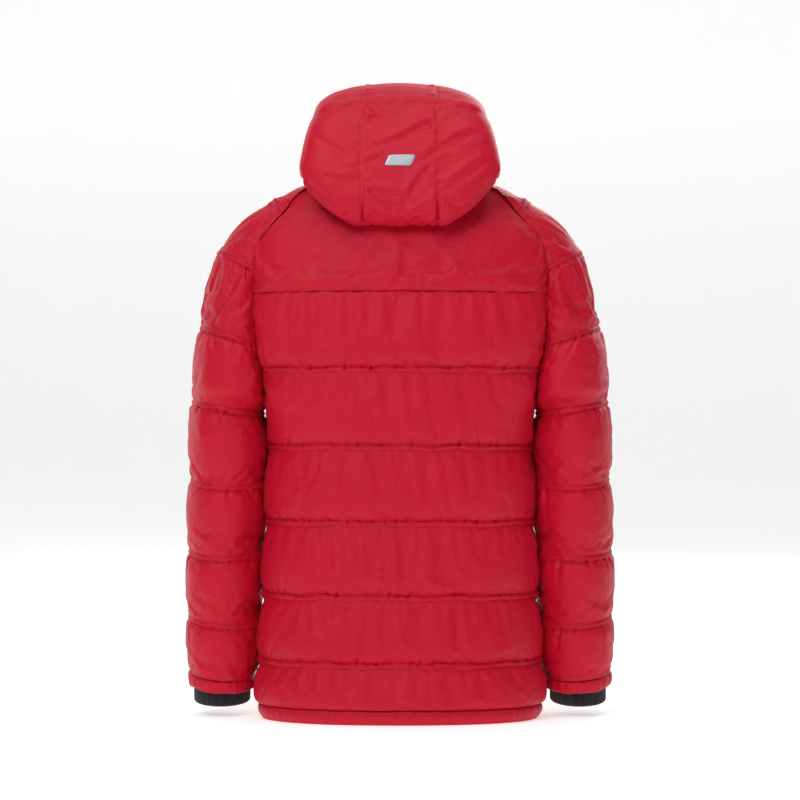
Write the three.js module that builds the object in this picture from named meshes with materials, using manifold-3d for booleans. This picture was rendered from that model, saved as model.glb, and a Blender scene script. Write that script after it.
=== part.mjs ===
// A hooded, quilted ski jacket in its worn shape: zipped up, hood raised.
// Millimetres. +Z is up, the front faces -Y, the wearer's left is +X.
// The origin is under the middle of the jacket, level with the bottom of the hem.
import * as THREE from "three";
import { mergeVertices } from "three/addons/utils/BufferGeometryUtils.js";
import Module from "manifold-3d";

const wasm = await Module();
wasm.setup();

// ---------- driving dimensions ----------
const bodyLength = 811; // hem to the back of the neck
const hemHalfWidth = 212;
const neckHalfWidth = 92;
const neckHalfDepth = 82.5;
const wall = 8; // a padded panel where it is sewn down
const cuffWall = 4.5; // the sleeve thins to this at the wrist
const puff = 10; // how far a quilted channel stands proud of its seams
const zipWall = 3; // the front panels thin to this beside the zip
const collarZipWall = 2.4;
const hoodWall = 5;
const liningWall = 1.2;
const liningGap = 0.5; // where a lining is sewn down
const liningSlack = 1.6; // further from the padding elsewhere
const frontRoom = 4; // space for the flat pocket bags behind the front padding
const sewn = 0.3; // between pieces that are sewn or pressed together
const lap = 0.85; // between a sleeve's edge and the body it is sewn to
const hemHeight = 21;
const hemWall = 6;
const ribWall = 4;
const ribHalfWidth = 43;
const ribHalfDepth = 50;
const ribBottom = 21; // height of the knit cuff's lower edge
const ribTop = 100;
const collarHeight = 74;
const collarWall = 7;
const hoodHalfWidth = 150;
const badge = { long: 39, high: 17, thick: 0.8 };

// Zips: a coarse one for the front, a finer one for the hand pockets.
const frontZip = { slot: 15, toothWide: 2.8, toothDeep: 4, tapeWide: 10.4, slider: [12, 24], pull: [8.6, 34, 1.6] };
const pocketZip = { slot: 11, toothWide: 2, toothDeep: 3.2, tapeWide: 8, slider: [8.4, 16], pull: [6.4, 26, 1.4] };
const tapeThick = 1;
const chainHalfGap = 0.5; // half the slit between the two halves of a chain, where the slider's post runs
const postHalf = 0.3;
const pocketLength = 150;
const weltWide = 24;
const weltDepth = [-3, 4]; // outer and inner face of a pocket welt, measured inwards from the panel

// ---------- colours ----------
const cloth = (color, roughness = 0.55) => new THREE.MeshStandardMaterial({ color, roughness, metalness: 0 });
const shellRed = cloth(0xc01a33);
const knitBlack = cloth(0x0b0d12, 0.9);
const liningGrey = cloth(0x24262b, 0.7);
const tapeBlack = cloth(0x141518, 0.8);
const zipBlack = cloth(0x1b1c20, 0.35);
const badgeSilver = new THREE.MeshStandardMaterial({ color: 0xaeb4bb, roughness: 0.3, metalness: 0.3 });
const zipMetal = new THREE.MeshStandardMaterial({ color: 0x2a2b2f, roughness: 0.3, metalness: 0.8 });

// ---------- helpers ----------
const V = (x, y, z) => new THREE.Vector3(x, y, z);
const { lerp, clamp, smoothstep, degToRad } = THREE.MathUtils;
const up = bodyLength / 811; // heights in the tables below were laid out for these two sizes
const wide = hemHalfWidth / 212;

// A smooth curve through [t, a, b, ...] stations that never overshoots them: returns t -> [a, b, ...].
function through(stations) {
  const rise = (i, c) => (stations[i + 1][c] - stations[i][c]) / (stations[i + 1][0] - stations[i][0]);
  const slope = (i, c) => {
    if (i === 0) return rise(0, c);
    if (i === stations.length - 1) return rise(i - 1, c);
    const [a, b] = [rise(i - 1, c), rise(i, c)];
    return a * b <= 0 ? 0 : (2 * a * b) / (a + b);
  };
  return (t) => {
    let i = 0;
    while (i < stations.length - 2 && t > stations[i + 1][0]) i++;
    const [p, q] = [stations[i], stations[i + 1]];
    const h = q[0] - p[0];
    const f = clamp((t - p[0]) / h, 0, 1);
    return p.slice(1).map((start, k) => {
      const c = k + 1;
      const eased = f * f * (3 - 2 * f);
      const bow = h * f * (1 - f) * ((1 - f) * slope(i, c) - f * slope(i + 1, c));
      return lerp(start, q[c], eased) + bow;
    });
  };
}

function solidOf(geometry) {
  const bare = geometry.index ? geometry.toNonIndexed() : geometry.clone();
  bare.deleteAttribute("normal");
  bare.deleteAttribute("uv");
  const merged = mergeVertices(bare, 1e-3);
  const mesh = { numProp: 3, vertProperties: merged.attributes.position.array };
  return new wasm.Manifold(new wasm.Mesh({ ...mesh, triVerts: new Uint32Array(merged.index.array) }));
}

function geometryOf(solid) {
  const { vertProperties, triVerts } = solid.getMesh();
  const geometry = new THREE.BufferGeometry();
  geometry.setAttribute("position", new THREE.BufferAttribute(new Float32Array(vertProperties), 3));
  geometry.setIndex(new THREE.BufferAttribute(new Uint32Array(triVerts), 1));
  return geometry;
}

const jacket = new THREE.Group();
function add(name, geometry, material, parent = jacket) {
  const mesh = new THREE.Mesh(geometry, material);
  mesh.name = name;
  parent.add(mesh);
  return mesh;
}

const evenly = (count, from = 0, to = 1) => Array.from({ length: count + 1 }, (_, i) => lerp(from, to, i / count));

// Turns the triangles of a geometry inside out.
function reverse(geometry) {
  const index = geometry.index.array;
  for (let i = 0; i < index.length; i += 3) [index[i + 1], index[i + 2]] = [index[i + 2], index[i + 1]];
}

// A box bent into a thick sheet. surface(u, v) is its outer face before padding; us and vs are its grid lines.
// depth(u, v) returns how deep the outer and the inner face lie below that surface.
// inwards(u, v, natural) may turn the direction of the thickness, for edges that butt against another piece.
function sheet(us, vs, surface, centre, depth, inwards = () => null) {
  const box = new THREE.BoxGeometry(1, 1, 1, us.length - 1, vs.length - 1, 1);
  const p = box.attributes.position;
  const normalAt = (u, v) => {
    const e = 2e-3 * (us.at(-1) - us[0]);
    const f = 2e-3 * (vs.at(-1) - vs[0]);
    const across = surface(Math.min(u + e, us.at(-1)), v).sub(surface(Math.max(u - e, us[0]), v));
    const along = surface(u, Math.min(v + f, vs.at(-1))).sub(surface(u, Math.max(v - f, vs[0])));
    return across.cross(along).normalize();
  };
  const [um, vm] = [us[us.length >> 1], vs[vs.length >> 1]];
  const facing = Math.sign(normalAt(um, vm).dot(surface(um, vm).sub(centre)));
  for (let i = 0; i < p.count; i++) {
    const u = us[Math.round((p.getX(i) + 0.5) * (us.length - 1))];
    const v = vs[Math.round((p.getY(i) + 0.5) * (vs.length - 1))];
    const natural = normalAt(u, v).multiplyScalar(-facing);
    const way = inwards(u, v, natural) ?? natural;
    const q = surface(u, v).addScaledVector(way, depth(u, v)[p.getZ(i) > 0 ? 0 : 1]);
    p.setXYZ(i, q.x, q.y, q.z);
  }
  if (facing < 0) reverse(box);
  return box;
}

// A lathe ring reshaped into a knitted or woven tube: surface(turn, v) outside, thick inwards towards the axis.
function tube(columns, vs, surface, thick) {
  const n = vs.length - 1;
  const profile = [...vs.map((_, i) => new THREE.Vector2(2, i)), ...vs.map((_, i) => new THREE.Vector2(1, n - i))];
  const lathe = new THREE.LatheGeometry([...profile, profile[0]], columns);
  const p = lathe.attributes.position;
  for (let i = 0; i < p.count; i++) {
    const turn = Math.atan2(p.getX(i), p.getZ(i));
    const v = vs[Math.round(p.getY(i))];
    const outer = Math.hypot(p.getX(i), p.getZ(i)) > 1.5;
    const q = surface(turn, v, outer ? 0 : thick);
    p.setXYZ(i, q.x, q.y, q.z);
  }
  return lathe;
}

// Padding between seams: nothing on a seam, all of it a quarter of the way to the next.
const onSeam = (seams, v) => seams.some((s) => Math.abs(s - v) < 1e-6);
const channelRows = (seams) => seams.flatMap((s, i) =>
  (i === seams.length - 1 ? [s] : [s, lerp(s, seams[i + 1], 0.25), lerp(s, seams[i + 1], 0.75)]));

function outwardSolid(geometry) {
  const solid = solidOf(geometry);
  if (solid.volume() > 0) return geometry;
  reverse(geometry);
  return geometry;
}

const fullness = 2.3; // 2 would make the body and the neck plain ellipses
const bend = (c) => Math.sign(c) * Math.abs(c) ** (2 / fullness);

// ---------- neck ----------
const neckMiddle = -10;
const neckCorner = degToRad(35); // where the shoulder pieces meet the yokes

function neckRing(turn, grow = 0) {
  const y = neckMiddle + (neckHalfDepth + grow) * bend(Math.sin(turn));
  const z = bodyLength - 8 + 0.15 * y + 8.5 * Math.cos(turn) ** 2;
  return V((neckHalfWidth * wide + grow) * bend(Math.cos(turn)), y, z);
}
// The turn away from straight ahead at which the ring is x from the middle.
const neckTurnAt = (x) => Math.asin(Math.min(1, x / neckHalfWidth / wide) ** (fullness / 2));

// ---------- body ----------
// Up the side seam: height, half width, how far the seam stands behind the middle, depth of the back, back lift.
const bodyTable = through([
  [0, 212, 0, 128, 0], [21, 213, 0, 128, 0], [87, 207, 0, 126, 0], [186, 201, 0, 122, 0], [296, 197, 0, 120, 0],
  [408, 195, 0, 122, 0], [440, 197, 0, 123, 0], [458, 201, 1, 124, 0], [478, 203, 22, 125, 0],
  [506, 205, 44, 127, 0], [560, 213, 57, 130, 0], [636, 219, 61, 131, 2], [673, 219, 61, 127, 5],
  [705, 215, 59, 117, 8], [726, 204, 56, 108, 9], [760, 175, 48, 94, 5], [790, 147, 42, 84, 2],
  [806, 100, 39, 76, 6], [811, 76, 38, 72, 6]]);
const bodyAt = (z) => {
  const [x, ...rest] = bodyTable(z / up);
  return [x * wide, ...rest];
};
const hemFront = 132;
const frontLean = 0.05; // the zip line leans back by this much for each millimetre it rises
const frontAt = (z) => hemFront - frontLean * z;
const neckDrop = (z) => 13 * smoothstep(z, 740 * up, 800 * up); // the neck is lower at the front

// turn 0 is the left side seam, a half turn the right one; back is 1 for the back and -1 for the front.
function bodyPoint(turn, z, back) {
  const [x, y, deep, lift] = bodyAt(z);
  const [c, s] = [bend(Math.cos(turn)), Math.abs(bend(Math.sin(turn)))];
  if (back > 0) return V(x * c, y + (deep - y) * s, z + lift * s);
  const low = z - neckDrop(z);
  return V(x * c, lerp(-y - 1.2 * neckDrop(z), -frontAt(low), s), low);
}

const quiltSeams = [hemHeight, ...[87, 186, 296, 408, 523, 636].map((z) => z * up)];
const yokeSeam = quiltSeams.at(-1);
const armpitRows = [456, 478, 494].map((z) => z * up);
const yokeRows = [636, 655, 673, 697, 722, 742, 760, 780, 797, 811].map((z) => z * up);
const backColumns = [0, 0.03, 0.1, 0.2, 0.3, 0.4, 0.5, 0.6, 0.7, 0.8, 0.9, 0.97, 1];
const frontColumns = [0, 0.1, 0.22, 0.36, 0.5, 0.64, 0.78, 0.93, 1];
const nearNeck = (z) => smoothstep(z, lerp(yokeSeam, bodyLength, 0.72), bodyLength);
const slotTurn = (z) => Math.acos((frontZip.slot / 2 / bodyAt(z)[0]) ** (fullness / 2));
const half = sewn / 2;

// One side of the body between two heights. hand is 1 on the left and -1 on the right; the back spans both.
function bodySurface(back, hand, z0, z1) {
  const neckTurn = (u) => (back > 0 ? lerp(neckCorner, Math.PI - neckCorner, u)
    : -lerp(neckCorner, Math.PI / 2 - neckTurnAt(frontZip.slot / 2), u));
  return (u, z) => {
    const turn = back > 0 ? u * Math.PI : u * slotTurn(z);
    const q = bodyPoint(turn, z, back);
    if (z1 >= bodyLength) {
      const top = bodyPoint(back > 0 ? turn : u * slotTurn(bodyLength), bodyLength, back);
      const toNeck = neckRing(neckTurn(u)).sub(top);
      q.addScaledVector(toNeck, nearNeck(z));
    }
    const edge = back > 0 ? Math.min(u, 1 - u) : u;
    q.y += back * half * (1 - smoothstep(edge, 0, 0.03));
    q.x *= hand;
    return q;
  };
}

// The padding dies away at a side seam, and more so at an armhole.
const sideFade = (edge, z, back) => {
  const share = edge / (back > 0 ? 1 : 3);
  return z < armpitRows[0] ? smoothstep(share, -0.03, 0.06) : smoothstep(share, 0.033, 0.07);
};
const thinByZip = (u) => lerp(wall, zipWall, smoothstep(u, 0.78, 0.93));

function bodyPanel(back, hand, seams) {
  const quilted = seams.length > 2;
  const [z0, z1] = [seams[0] + half, seams.at(-1) - (quilted ? half : 0)];
  const rows = quilted ? channelRows(seams) : [...yokeRows];
  rows[0] = z0;
  rows[rows.length - 1] = z1;
  const all = quilted ? [...rows.filter((z) => Math.abs(z / up - 494.25) > 1), ...armpitRows] : rows;
  const padding = (u, z) => {
    if (!quilted || onSeam([z0, z1, ...seams], z)) return 0;
    const edge = back > 0 ? Math.min(u, 1 - u) : u;
    const nearSeam = Math.min(...seams.map((s) => Math.abs(s - z))) / (20 * up);
    return puff * sideFade(edge, z, back) * Math.min(1, nearSeam) * (back > 0 ? 1 : smoothstep(0.93 - u, 0, 0.12));
  };
  const thick = (u) => (back > 0 ? wall : thinByZip(u));
  const columns = back > 0 ? backColumns : frontColumns;
  const surface = bodySurface(back, hand, z0, z1);
  const squareEdge = (u, z, natural) =>
    (u === 0 || (back > 0 && u === 1) ? natural.setY(0).normalize() : null);
  return sheet(columns, all.sort((a, b) => a - b), surface, V(0, 0, (z0 + z1) / 2),
    (u, z) => [-padding(u, z), thick(u)], squareEdge);
}

add("back_panel", bodyPanel(1, 1, quiltSeams), shellRed);
add("back_yoke", bodyPanel(1, 1, [yokeSeam, bodyLength]), shellRed);

// The hem band runs from one side of the zip round the back to the other.
const hemSlot = Math.PI / 2 - slotTurn(0);
function hemSurface(turn, z) {
  if (turn < 0) return bodyPoint(-turn, z, -1);
  return turn > Math.PI ? bodyPoint(2 * Math.PI - turn, z, -1) : bodyPoint(turn, z, 1);
}
const hemTurns = [...frontColumns.slice(1).reverse().map((u) => -u * slotTurn(0)),
  ...backColumns.map((u) => u * Math.PI), ...frontColumns.slice(1).map((u) => Math.PI + u * slotTurn(0))];
const hemThick = (turn) => {
  const fromZip = turn < 0 ? -turn : turn - Math.PI;
  return Math.min(hemWall, thinByZip(Math.max(0, fromZip) / slotTurn(0)));
};
add("hem_band", sheet(hemTurns, [0, hemHeight - half], hemSurface, V(0, 0, 10),
  (turn) => [0, hemThick(turn)], (turn, z, natural) => natural.setZ(0).normalize()), shellRed);

// ---------- sleeves ----------
// Levels down the arm: 0 neck, 1 first channel, 2 sleeve head, 3 to 8 quilting seams, 9 cuff edge.
// Ridge of the arm x, y, z, half depth of the sleeve, degrees from the ridge to the body, how the rings tip.
const armTable = through([
  [0, 92, -10, 810, 46, 68, 0], [0.5, 142, -5, 806, 48, 68, 0], [1, 190, -4, 783, 52, 72, 0],
  [1.5, 240, -4, 752, 58, 85, 0], [2, 275, -4, 702, 66, 100, 0], [3, 301, -5, 587, 80, 131, 0],
  [3.5, 309, -6, 530, 82, 152, 0], [4, 314, -8, 476, 82, 180, 0.03], [5, 317, -14, 359, 78, 180, 0.12],
  [6, 321, -22, 250, 72, 180, 0.12], [7, 322, -30, 151, 66, 180, 0.13], [8, 321, -36, 67, 61, 180, 0.14],
  [9, 320, -39, 46, 60, 180, 0.14]]);
// Where the sleeve ends against the body, then its underarm line: height, x.
const underTable = through([
  [0, 811, 92], [0.5, 797, 140], [1, 760, 175], [1.5, 722, 205], [2, 673, 219], [3, 560, 213], [3.7, 487, 205],
  [4, 458, 206], [5, 353, 210], [6, 247, 214], [7, 141, 217], [8, 59, 221], [9, 41, 223]]);

function armRidge(t) {
  const [x, y, z] = armTable(t);
  return V(x + (wide - 1) * Math.min(x, 219), y, z * up);
}

function armEnd(t, back) {
  const [height, x] = underTable(t);
  const z = height * up;
  const under = V(x + (wide - 1) * Math.min(x, 219), armRidge(t).y + back * half, z);
  if (t >= 4) return under;
  const [bodyX, bodyY] = bodyAt(z);
  const slope = (bodyAt(z + 1)[0] - bodyAt(z - 1)[0]) / 2;
  const drop = back > 0 ? 0 : neckDrop(z);
  const onBody = V(bodyX, back * (bodyY + 1.2 * drop + wall), z - drop);
  onBody.addScaledVector(V(1, 0, -slope).normalize(), lap);
  const toNeck = neckRing(back * neckCorner).sub(bodyPoint(0, bodyLength, back));
  onBody.addScaledVector(toNeck, nearNeck(z));
  return onBody.lerp(under, smoothstep(t, 3.72, 4));
}

// One half of a sleeve: share 0 is the ridge, 1 the body or the underarm seam.
function armPoint(share, t, back, hand) {
  const [, , , deep, sweepDegrees, tip] = armTable(t);
  const sweep = degToRad(sweepDegrees);
  const turn = share * sweep;
  const [ridge, end] = [armRidge(t), armEnd(t, back)];
  const c = (1 - Math.cos(turn)) / (1 - Math.cos(sweep));
  const bulge = back * deep * Math.sin(turn);
  const q = V(lerp(ridge.x, end.x, c), ridge.y + bulge, lerp(ridge.z, end.z, c) - tip * bulge);
  q.y += (end.y - ridge.y - back * deep * Math.sin(sweep)) * share;
  q.y += back * half * (1 - smoothstep(share, 0, 0.1));
  if (t < 0.5) {
    const top = armPoint(share, 0.5, back, 1);
    const neck = neckRing(back * (neckCorner - 0.02) * share);
    if (back > 0 || share > 0) neck.y += back * half * (1 - share);
    q.copy(top.lerp(neck, 1 - t / 0.5));
  }
  q.x *= hand;
  return q;
}

const armWall = (t) => lerp(wall, cuffWall, smoothstep(t, 4, 8));
const armColumns = [0, 0.15, 0.3, 0.45, 0.6, 0.75, 0.88, 0.96, 1];
const meetsBody = (share, t, back) => (share > 0.999 && t < 3.8 ? V(0, -back, 0) : null);
const armMiddle = (t, hand) => armRidge(t).lerp(armEnd(t, 1), 0.5).multiply(V(hand, 0, 1));
const armSeams = [2, 3, 4, 5, 6, 7, 8];
const armRows = [2, 2.25, 2.75, 3, 3.25, 3.5, 3.75, ...channelRows([4, 5, 6, 7, 8])];
const levelGap = 0.0016; // a sewn joint, as a share of one level

function sleeveHalf(back, hand) {
  const rows = [...armRows];
  rows[0] = 2 + levelGap;
  rows[rows.length - 1] = 8 - 2 * levelGap;
  const padding = (share, t) => {
    if (onSeam([rows[0], rows.at(-1), ...armSeams], t)) return 0;
    return puff * lerp(1, 0.75, smoothstep(t, 2, 8)) * (1 - smoothstep(share, 0.8, 0.96));
  };
  return sheet(armColumns, rows, (s, t) => armPoint(s, t, back, hand), armMiddle(5, hand),
    (s, t) => [-padding(s, t), armWall(t)], (s, t) => meetsBody(s, t, back));
}

// Across a shoulder or a sleeve lining: -1 is the back edge, 0 the ridge, 1 the front edge.
const acrossArm = (a, t, hand) => armPoint(Math.abs(a), t, a < 0 ? 1 : -1, hand);
const bothWays = (columns) => [...columns.slice(1).reverse().map((s) => -s), ...columns];

function shoulder(hand) {
  const rows = [0, 0.5, 0.73, 1, 1.23, 1.5, 1.75, 2 - levelGap];
  const padding = (a, t) => (t > 1.1 && t < 1.9 ? puff * 0.7 * (1 - smoothstep(Math.abs(a), 0.75, 0.96)) : 0);
  const surface = (a, t) => {
    const q = acrossArm(a, t, hand);
    if (a < 0) q.y -= half * (1 - smoothstep(-a, 0, 0.1));
    else q.y += half * (1 - smoothstep(a, 0, 0.1));
    return q;
  };
  return sheet(bothWays(armColumns), rows, surface, V(hand * 180, 0, 640 * up), (a, t) => [-padding(a, t), wall],
    (a, t, natural) => natural.lerp(V(0, Math.sign(a), 0), smoothstep(Math.abs(a), 0.75, 0.96)).normalize());
}

const ribLean = V(-0.012, 0.07, 1); // the forearm comes forward as it falls
function ribPoint(turn, z, inset, hand) {
  const middle = V(271 + (wide - 1) * 219, -36, 0).addScaledVector(ribLean, z - 60);
  const y = (ribHalfDepth - inset) * Math.sin(turn);
  return V(hand * (middle.x + (ribHalfWidth - inset) * Math.cos(turn)), middle.y + y, z - 0.12 * y);
}

function sleeveLining(hand) {
  const columns = bothWays([0, 0.2, 0.4, 0.6, 0.8, 0.97]);
  const rows = [2.06, 2.5, 3, 3.5, 3.7, 4, 5, 6, 7, 7.45];
  const last = rows.at(-1);
  const surface = (a, t) => {
    if (t >= last) return ribPoint(-a * Math.PI, ribTop + sewn, 1.2, hand);
    return acrossArm(a, t, hand);
  };
  const top = (t) => (t >= last ? 0 : armWall(t) + liningGap + 1.5 * liningSlack);
  return sheet(columns, rows, surface, armMiddle(5, hand), (a, t) => [top(t), top(t) + liningWall]);
}

for (const [hand, name] of [[1, "left"], [-1, "right"]]) {
  add("front_panel_" + name, bodyPanel(-1, hand, quiltSeams), shellRed);
  add("front_yoke_" + name, bodyPanel(-1, hand, [yokeSeam, bodyLength]), shellRed);
  add("shoulder_" + name, shoulder(hand), shellRed);
  add("sleeve_back_" + name, sleeveHalf(1, hand), shellRed);
  add("sleeve_front_" + name, sleeveHalf(-1, hand), shellRed);
  add("sleeve_lining_" + name, sleeveLining(hand), liningGrey);
  const bandPoint = (turn, t, inset) => {
    const back = Math.sin(turn) > 0 ? 1 : -1;
    const share = Math.abs(Math.atan2(Math.sin(turn), Math.cos(turn))) / Math.PI;
    const q = armPoint(share, t, back, hand);
    q.y -= back * half * (1 - smoothstep(share, 0, 0.1)) + back * half * smoothstep(share, 0.9, 1);
    const middle = armMiddle(t, hand).setY(armRidge(t).y);
    const flat = V(q.x - middle.x, q.y - middle.y, 0);
    return q.addScaledVector(flat.normalize(), -inset);
  };
  const band = tube(24, [8.035, 8.5, 9], bandPoint, cuffWall);
  add("cuff_band_" + name, outwardSolid(band), shellRed);
  const rib = tube(28, [ribBottom, 60, ribTop], (turn, z, inset) => ribPoint(turn, z, inset, hand), ribWall);
  add("rib_cuff_" + name, outwardSolid(rib), knitBlack);
}

// ---------- linings ----------
const liningRows = [8, 87, 186, 296, 408, 436.75, 456, 478, 494, 523, 560, 636, 673, 697, 722, 760]
  .map((z) => z * up);
// Above the armpit a lining keeps clear of the armhole by narrowing towards mid.
function liningSurface(back, hand, mid) {
  const surface = bodySurface(back, hand, 0, 0);
  return (u, z) => surface(lerp(u, mid, 0.09 * smoothstep(z, 440 * up, 480 * up)), z);
}
add("lining_back", sheet(backColumns, liningRows, liningSurface(1, 1, 0.5), V(0, 0, 400), (u, z) => {
  const high = smoothstep(z, 440 * up, 480 * up);
  const slack = Math.max(high, smoothstep(Math.min(u, 1 - u), 0.03, 0.1));
  const top = wall + liningGap + liningSlack * (slack + high);
  return [top, top + liningWall];
}), liningGrey);
for (const [hand, name] of [[1, "left"], [-1, "right"]]) {
  const surface = liningSurface(-1, hand, 1);
  const top = (u) => wall + liningGap + frontRoom * smoothstep(u, 0.06, 0.32);
  add("lining_" + name, sheet(frontColumns.slice(0, -1), liningRows, surface, V(0, 0, 400),
    (u) => [top(u), top(u) + liningWall]), liningGrey);
}

// ---------- collar ----------
const collarGap = neckTurnAt(frontZip.slot / 2);
function collarPoint(turn, h) {
  const q = neckRing(turn);
  q.z += h;
  q.y += frontLean * h * smoothstep(-Math.sin(turn), -0.2, 1);
  return q;
}
const collarTurns = evenly(24, -Math.PI / 2 + collarGap, (3 * Math.PI) / 2 - collarGap);
const byCollarGap = (turn) => smoothstep(Math.abs(turn - Math.PI / 2), 2.6, 2.85);
add("collar", sheet(collarTurns, evenly(3, lap, collarHeight), collarPoint, V(0, neckMiddle, 850 * up),
  (turn) => [0, lerp(collarWall, collarZipWall, byCollarGap(turn))]), shellRed);

const insideCollar = collarWall + sewn;
add("neck_label", sheet(collarTurns.slice(11, 14), [8, 30], collarPoint, V(0, neckMiddle, 850 * up),
  () => [insideCollar, insideCollar + 0.6]), tapeBlack);
const loop = { bow: 12, thick: 1.6, low: 42, high: 50 };
const loopTurns = collarTurns.slice(10, 15);
add("hanger_loop", sheet(loopTurns, [loop.low, loop.high], collarPoint, V(0, neckMiddle, 850 * up), (turn) => {
  const bow = loop.bow * Math.cos(((turn - Math.PI / 2) / (loopTurns.at(-1) - Math.PI / 2)) * (Math.PI / 2));
  return [insideCollar + bow, insideCollar + bow + loop.thick];
}), tapeBlack);

// ---------- hood ----------
// Down the middle of the hood from the face edge: share, y, height above the neck.
const hoodSpine = through([
  [0, -118, 127], [0.12, -60, 142], [0.25, 0, 144.5], [0.4, 60, 127], [0.56, 104, 89], [0.74, 128, 39], [1, 142, -11]]);
// Half width at each height above the neck.
const hoodWidth = through([
  [-73, 52], [-64, 75], [-51, 97], [-34, 122], [-11, 143], [0, 148], [12, 150], [36, 147], [75, 139], [93, 133],
  [111, 130], [129, 118], [139, 95], [146, 60]]);
const hoodStrip = 55 / 150 * hoodHalfWidth;
const stripShare = 0.2; // the middle fifth of the width is the centre panel
const hoodFoot = [degToRad(-35), degToRad(50)];

function hoodFootAt(s) {
  const turn = lerp(...hoodFoot, s);
  const q = neckRing(turn, lerp(12, 8, smoothstep(s, 0, 0.5)));
  q.z += 8;
  return q;
}

// across runs from -1 at the right neck seam over the hood to 1 at the left one; s from the face to the back.
function hoodPoint(across, s) {
  const [spineY, spineZ] = hoodSpine(s);
  const top = V(hoodStrip, spineY, bodyLength + spineZ);
  const reach = Math.abs(across);
  const hand = Math.sign(across);
  if (reach <= stripShare) {
    const share = across / stripShare;
    return V(hoodStrip * share, top.y, top.z);
  }
  const f = (reach - stripShare) / (1 - stripShare);
  const foot = hoodFootAt(s);
  const down = f < 0.5 ? 0.5 * (1 - Math.cos(f * Math.PI)) : f;
  const q = top.clone().lerp(foot, down);
  const [width] = hoodWidth(q.z - bodyLength);
  const full = (width * hoodHalfWidth) / 150 * lerp(0.74, 1, smoothstep(s, 0, 0.35));
  q.x = lerp(hoodStrip, full, Math.sin(Math.min(f, 0.5) * Math.PI));
  if (f > 0.5) q.x = lerp(q.x, foot.x, smoothstep(f, 0.5, 1));
  q.x *= hand;
  return q;
}

const hoodMiddle = V(0, 20, bodyLength + 40);
const hemShare = 0.035; // the face hem, as a share of the spine
const seamShare = 0.001;
const hoodRows = [hemShare + 0.003, 0.12, 0.2, 0.28, 0.36, 0.44, 0.52, 0.6, 0.68, 0.76, 0.84, 0.92, 1];
const stripColumns = evenly(4, -stripShare + seamShare, stripShare - seamShare);
const flankColumns = [stripShare + seamShare, 0.28, 0.36, 0.44, 0.52, 0.6, 0.7, 0.8, 0.9, 1];
// The cut where the hood hinges is flat: both sides of it are thick towards a line inside the hood.
function alongCut(across) {
  const q = hoodPoint(across, 1);
  const [foot, rear] = [hoodFootAt(1), hoodPoint(0, 1)];
  const inner = rear.clone().lerp(foot, 0.75).setX(q.x * lerp(1, 0.35, smoothstep(Math.abs(across), 0.2, 0.5)));
  return inner.sub(q).normalize();
}
const hoodSheet = (columns, rows, top = 0, thick = hoodWall) =>
  sheet(columns, rows, hoodPoint, hoodMiddle, () => [top, top + thick], (a, s) => (s === 1 ? alongCut(a) : null));
add("hood_centre", hoodSheet(stripColumns, hoodRows), shellRed);
add("hood_side_left", hoodSheet(flankColumns, hoodRows), shellRed);
add("hood_side_right", hoodSheet(flankColumns.map((a) => -a).reverse(), hoodRows), shellRed);
const allAcross = [...flankColumns.map((a) => -a).reverse(), ...evenly(2, -0.1, 0.1), ...flankColumns];
add("hood_hem", hoodSheet(allAcross, [0, hemShare]), shellRed);
const insideHood = allAcross.filter((a) => Math.abs(a) < 0.95);
const hoodLiningRows = [0.045, 0.12, 0.28, 0.44, 0.6, 0.76, 0.92, 0.97];
const hoodLiningTop = (s) => hoodWall + liningGap + 2 * liningSlack * smoothstep(s, 0.05, 0.12);
add("hood_lining", sheet(insideHood, hoodLiningRows, hoodPoint, hoodMiddle,
  (a, s) => [hoodLiningTop(s), hoodLiningTop(s) + liningWall]), liningGrey);

const badgeAt = { s: 0.8, lean: 0.02 };
const badgeSpan = (badge.long / 2 / hoodStrip) * stripShare;
const badgeRise = badge.high / 2 / 200;
const badgeSurface = (a, s) => hoodPoint(a + ((badgeAt.s - s) / badgeRise) * badgeAt.lean, s);
add("hood_badge", sheet(evenly(2, -badgeSpan, badgeSpan), evenly(2, badgeAt.s - badgeRise, badgeAt.s + badgeRise),
  badgeSurface, hoodMiddle, () => [-sewn - badge.thick, -sewn]), badgeSilver);

// Below its hinge line the hood sags in a soft roll over the yoke and comes back up to the neck seam.
// Share, y and height at the middle, half width, how far its ends stand off the yoke.
const rollTable = through([
  [0, 142, -11, 147, 18], [0.2, 147, -34, 122, 18], [0.4, 142, -55, 92, 18], [0.52, 130, -68, 68, 15],
  [0.64, 117, -72, 52, 11], [0.76, 106, -58, 56, 5], [0.88, 96, -28, 60, 5], [0.95, 84, -4, 60, 4.5],
  [1, 73.1, 12, 58, 0.4]]);

function yokeDepth(x, z) {
  const [halfWidth, edge, deep] = bodyAt(Math.min(z, bodyLength));
  const c = Math.min(1, x / halfWidth) ** fullness;
  return edge + (deep - edge) * (1 - c) ** (1 / fullness);
}

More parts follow.
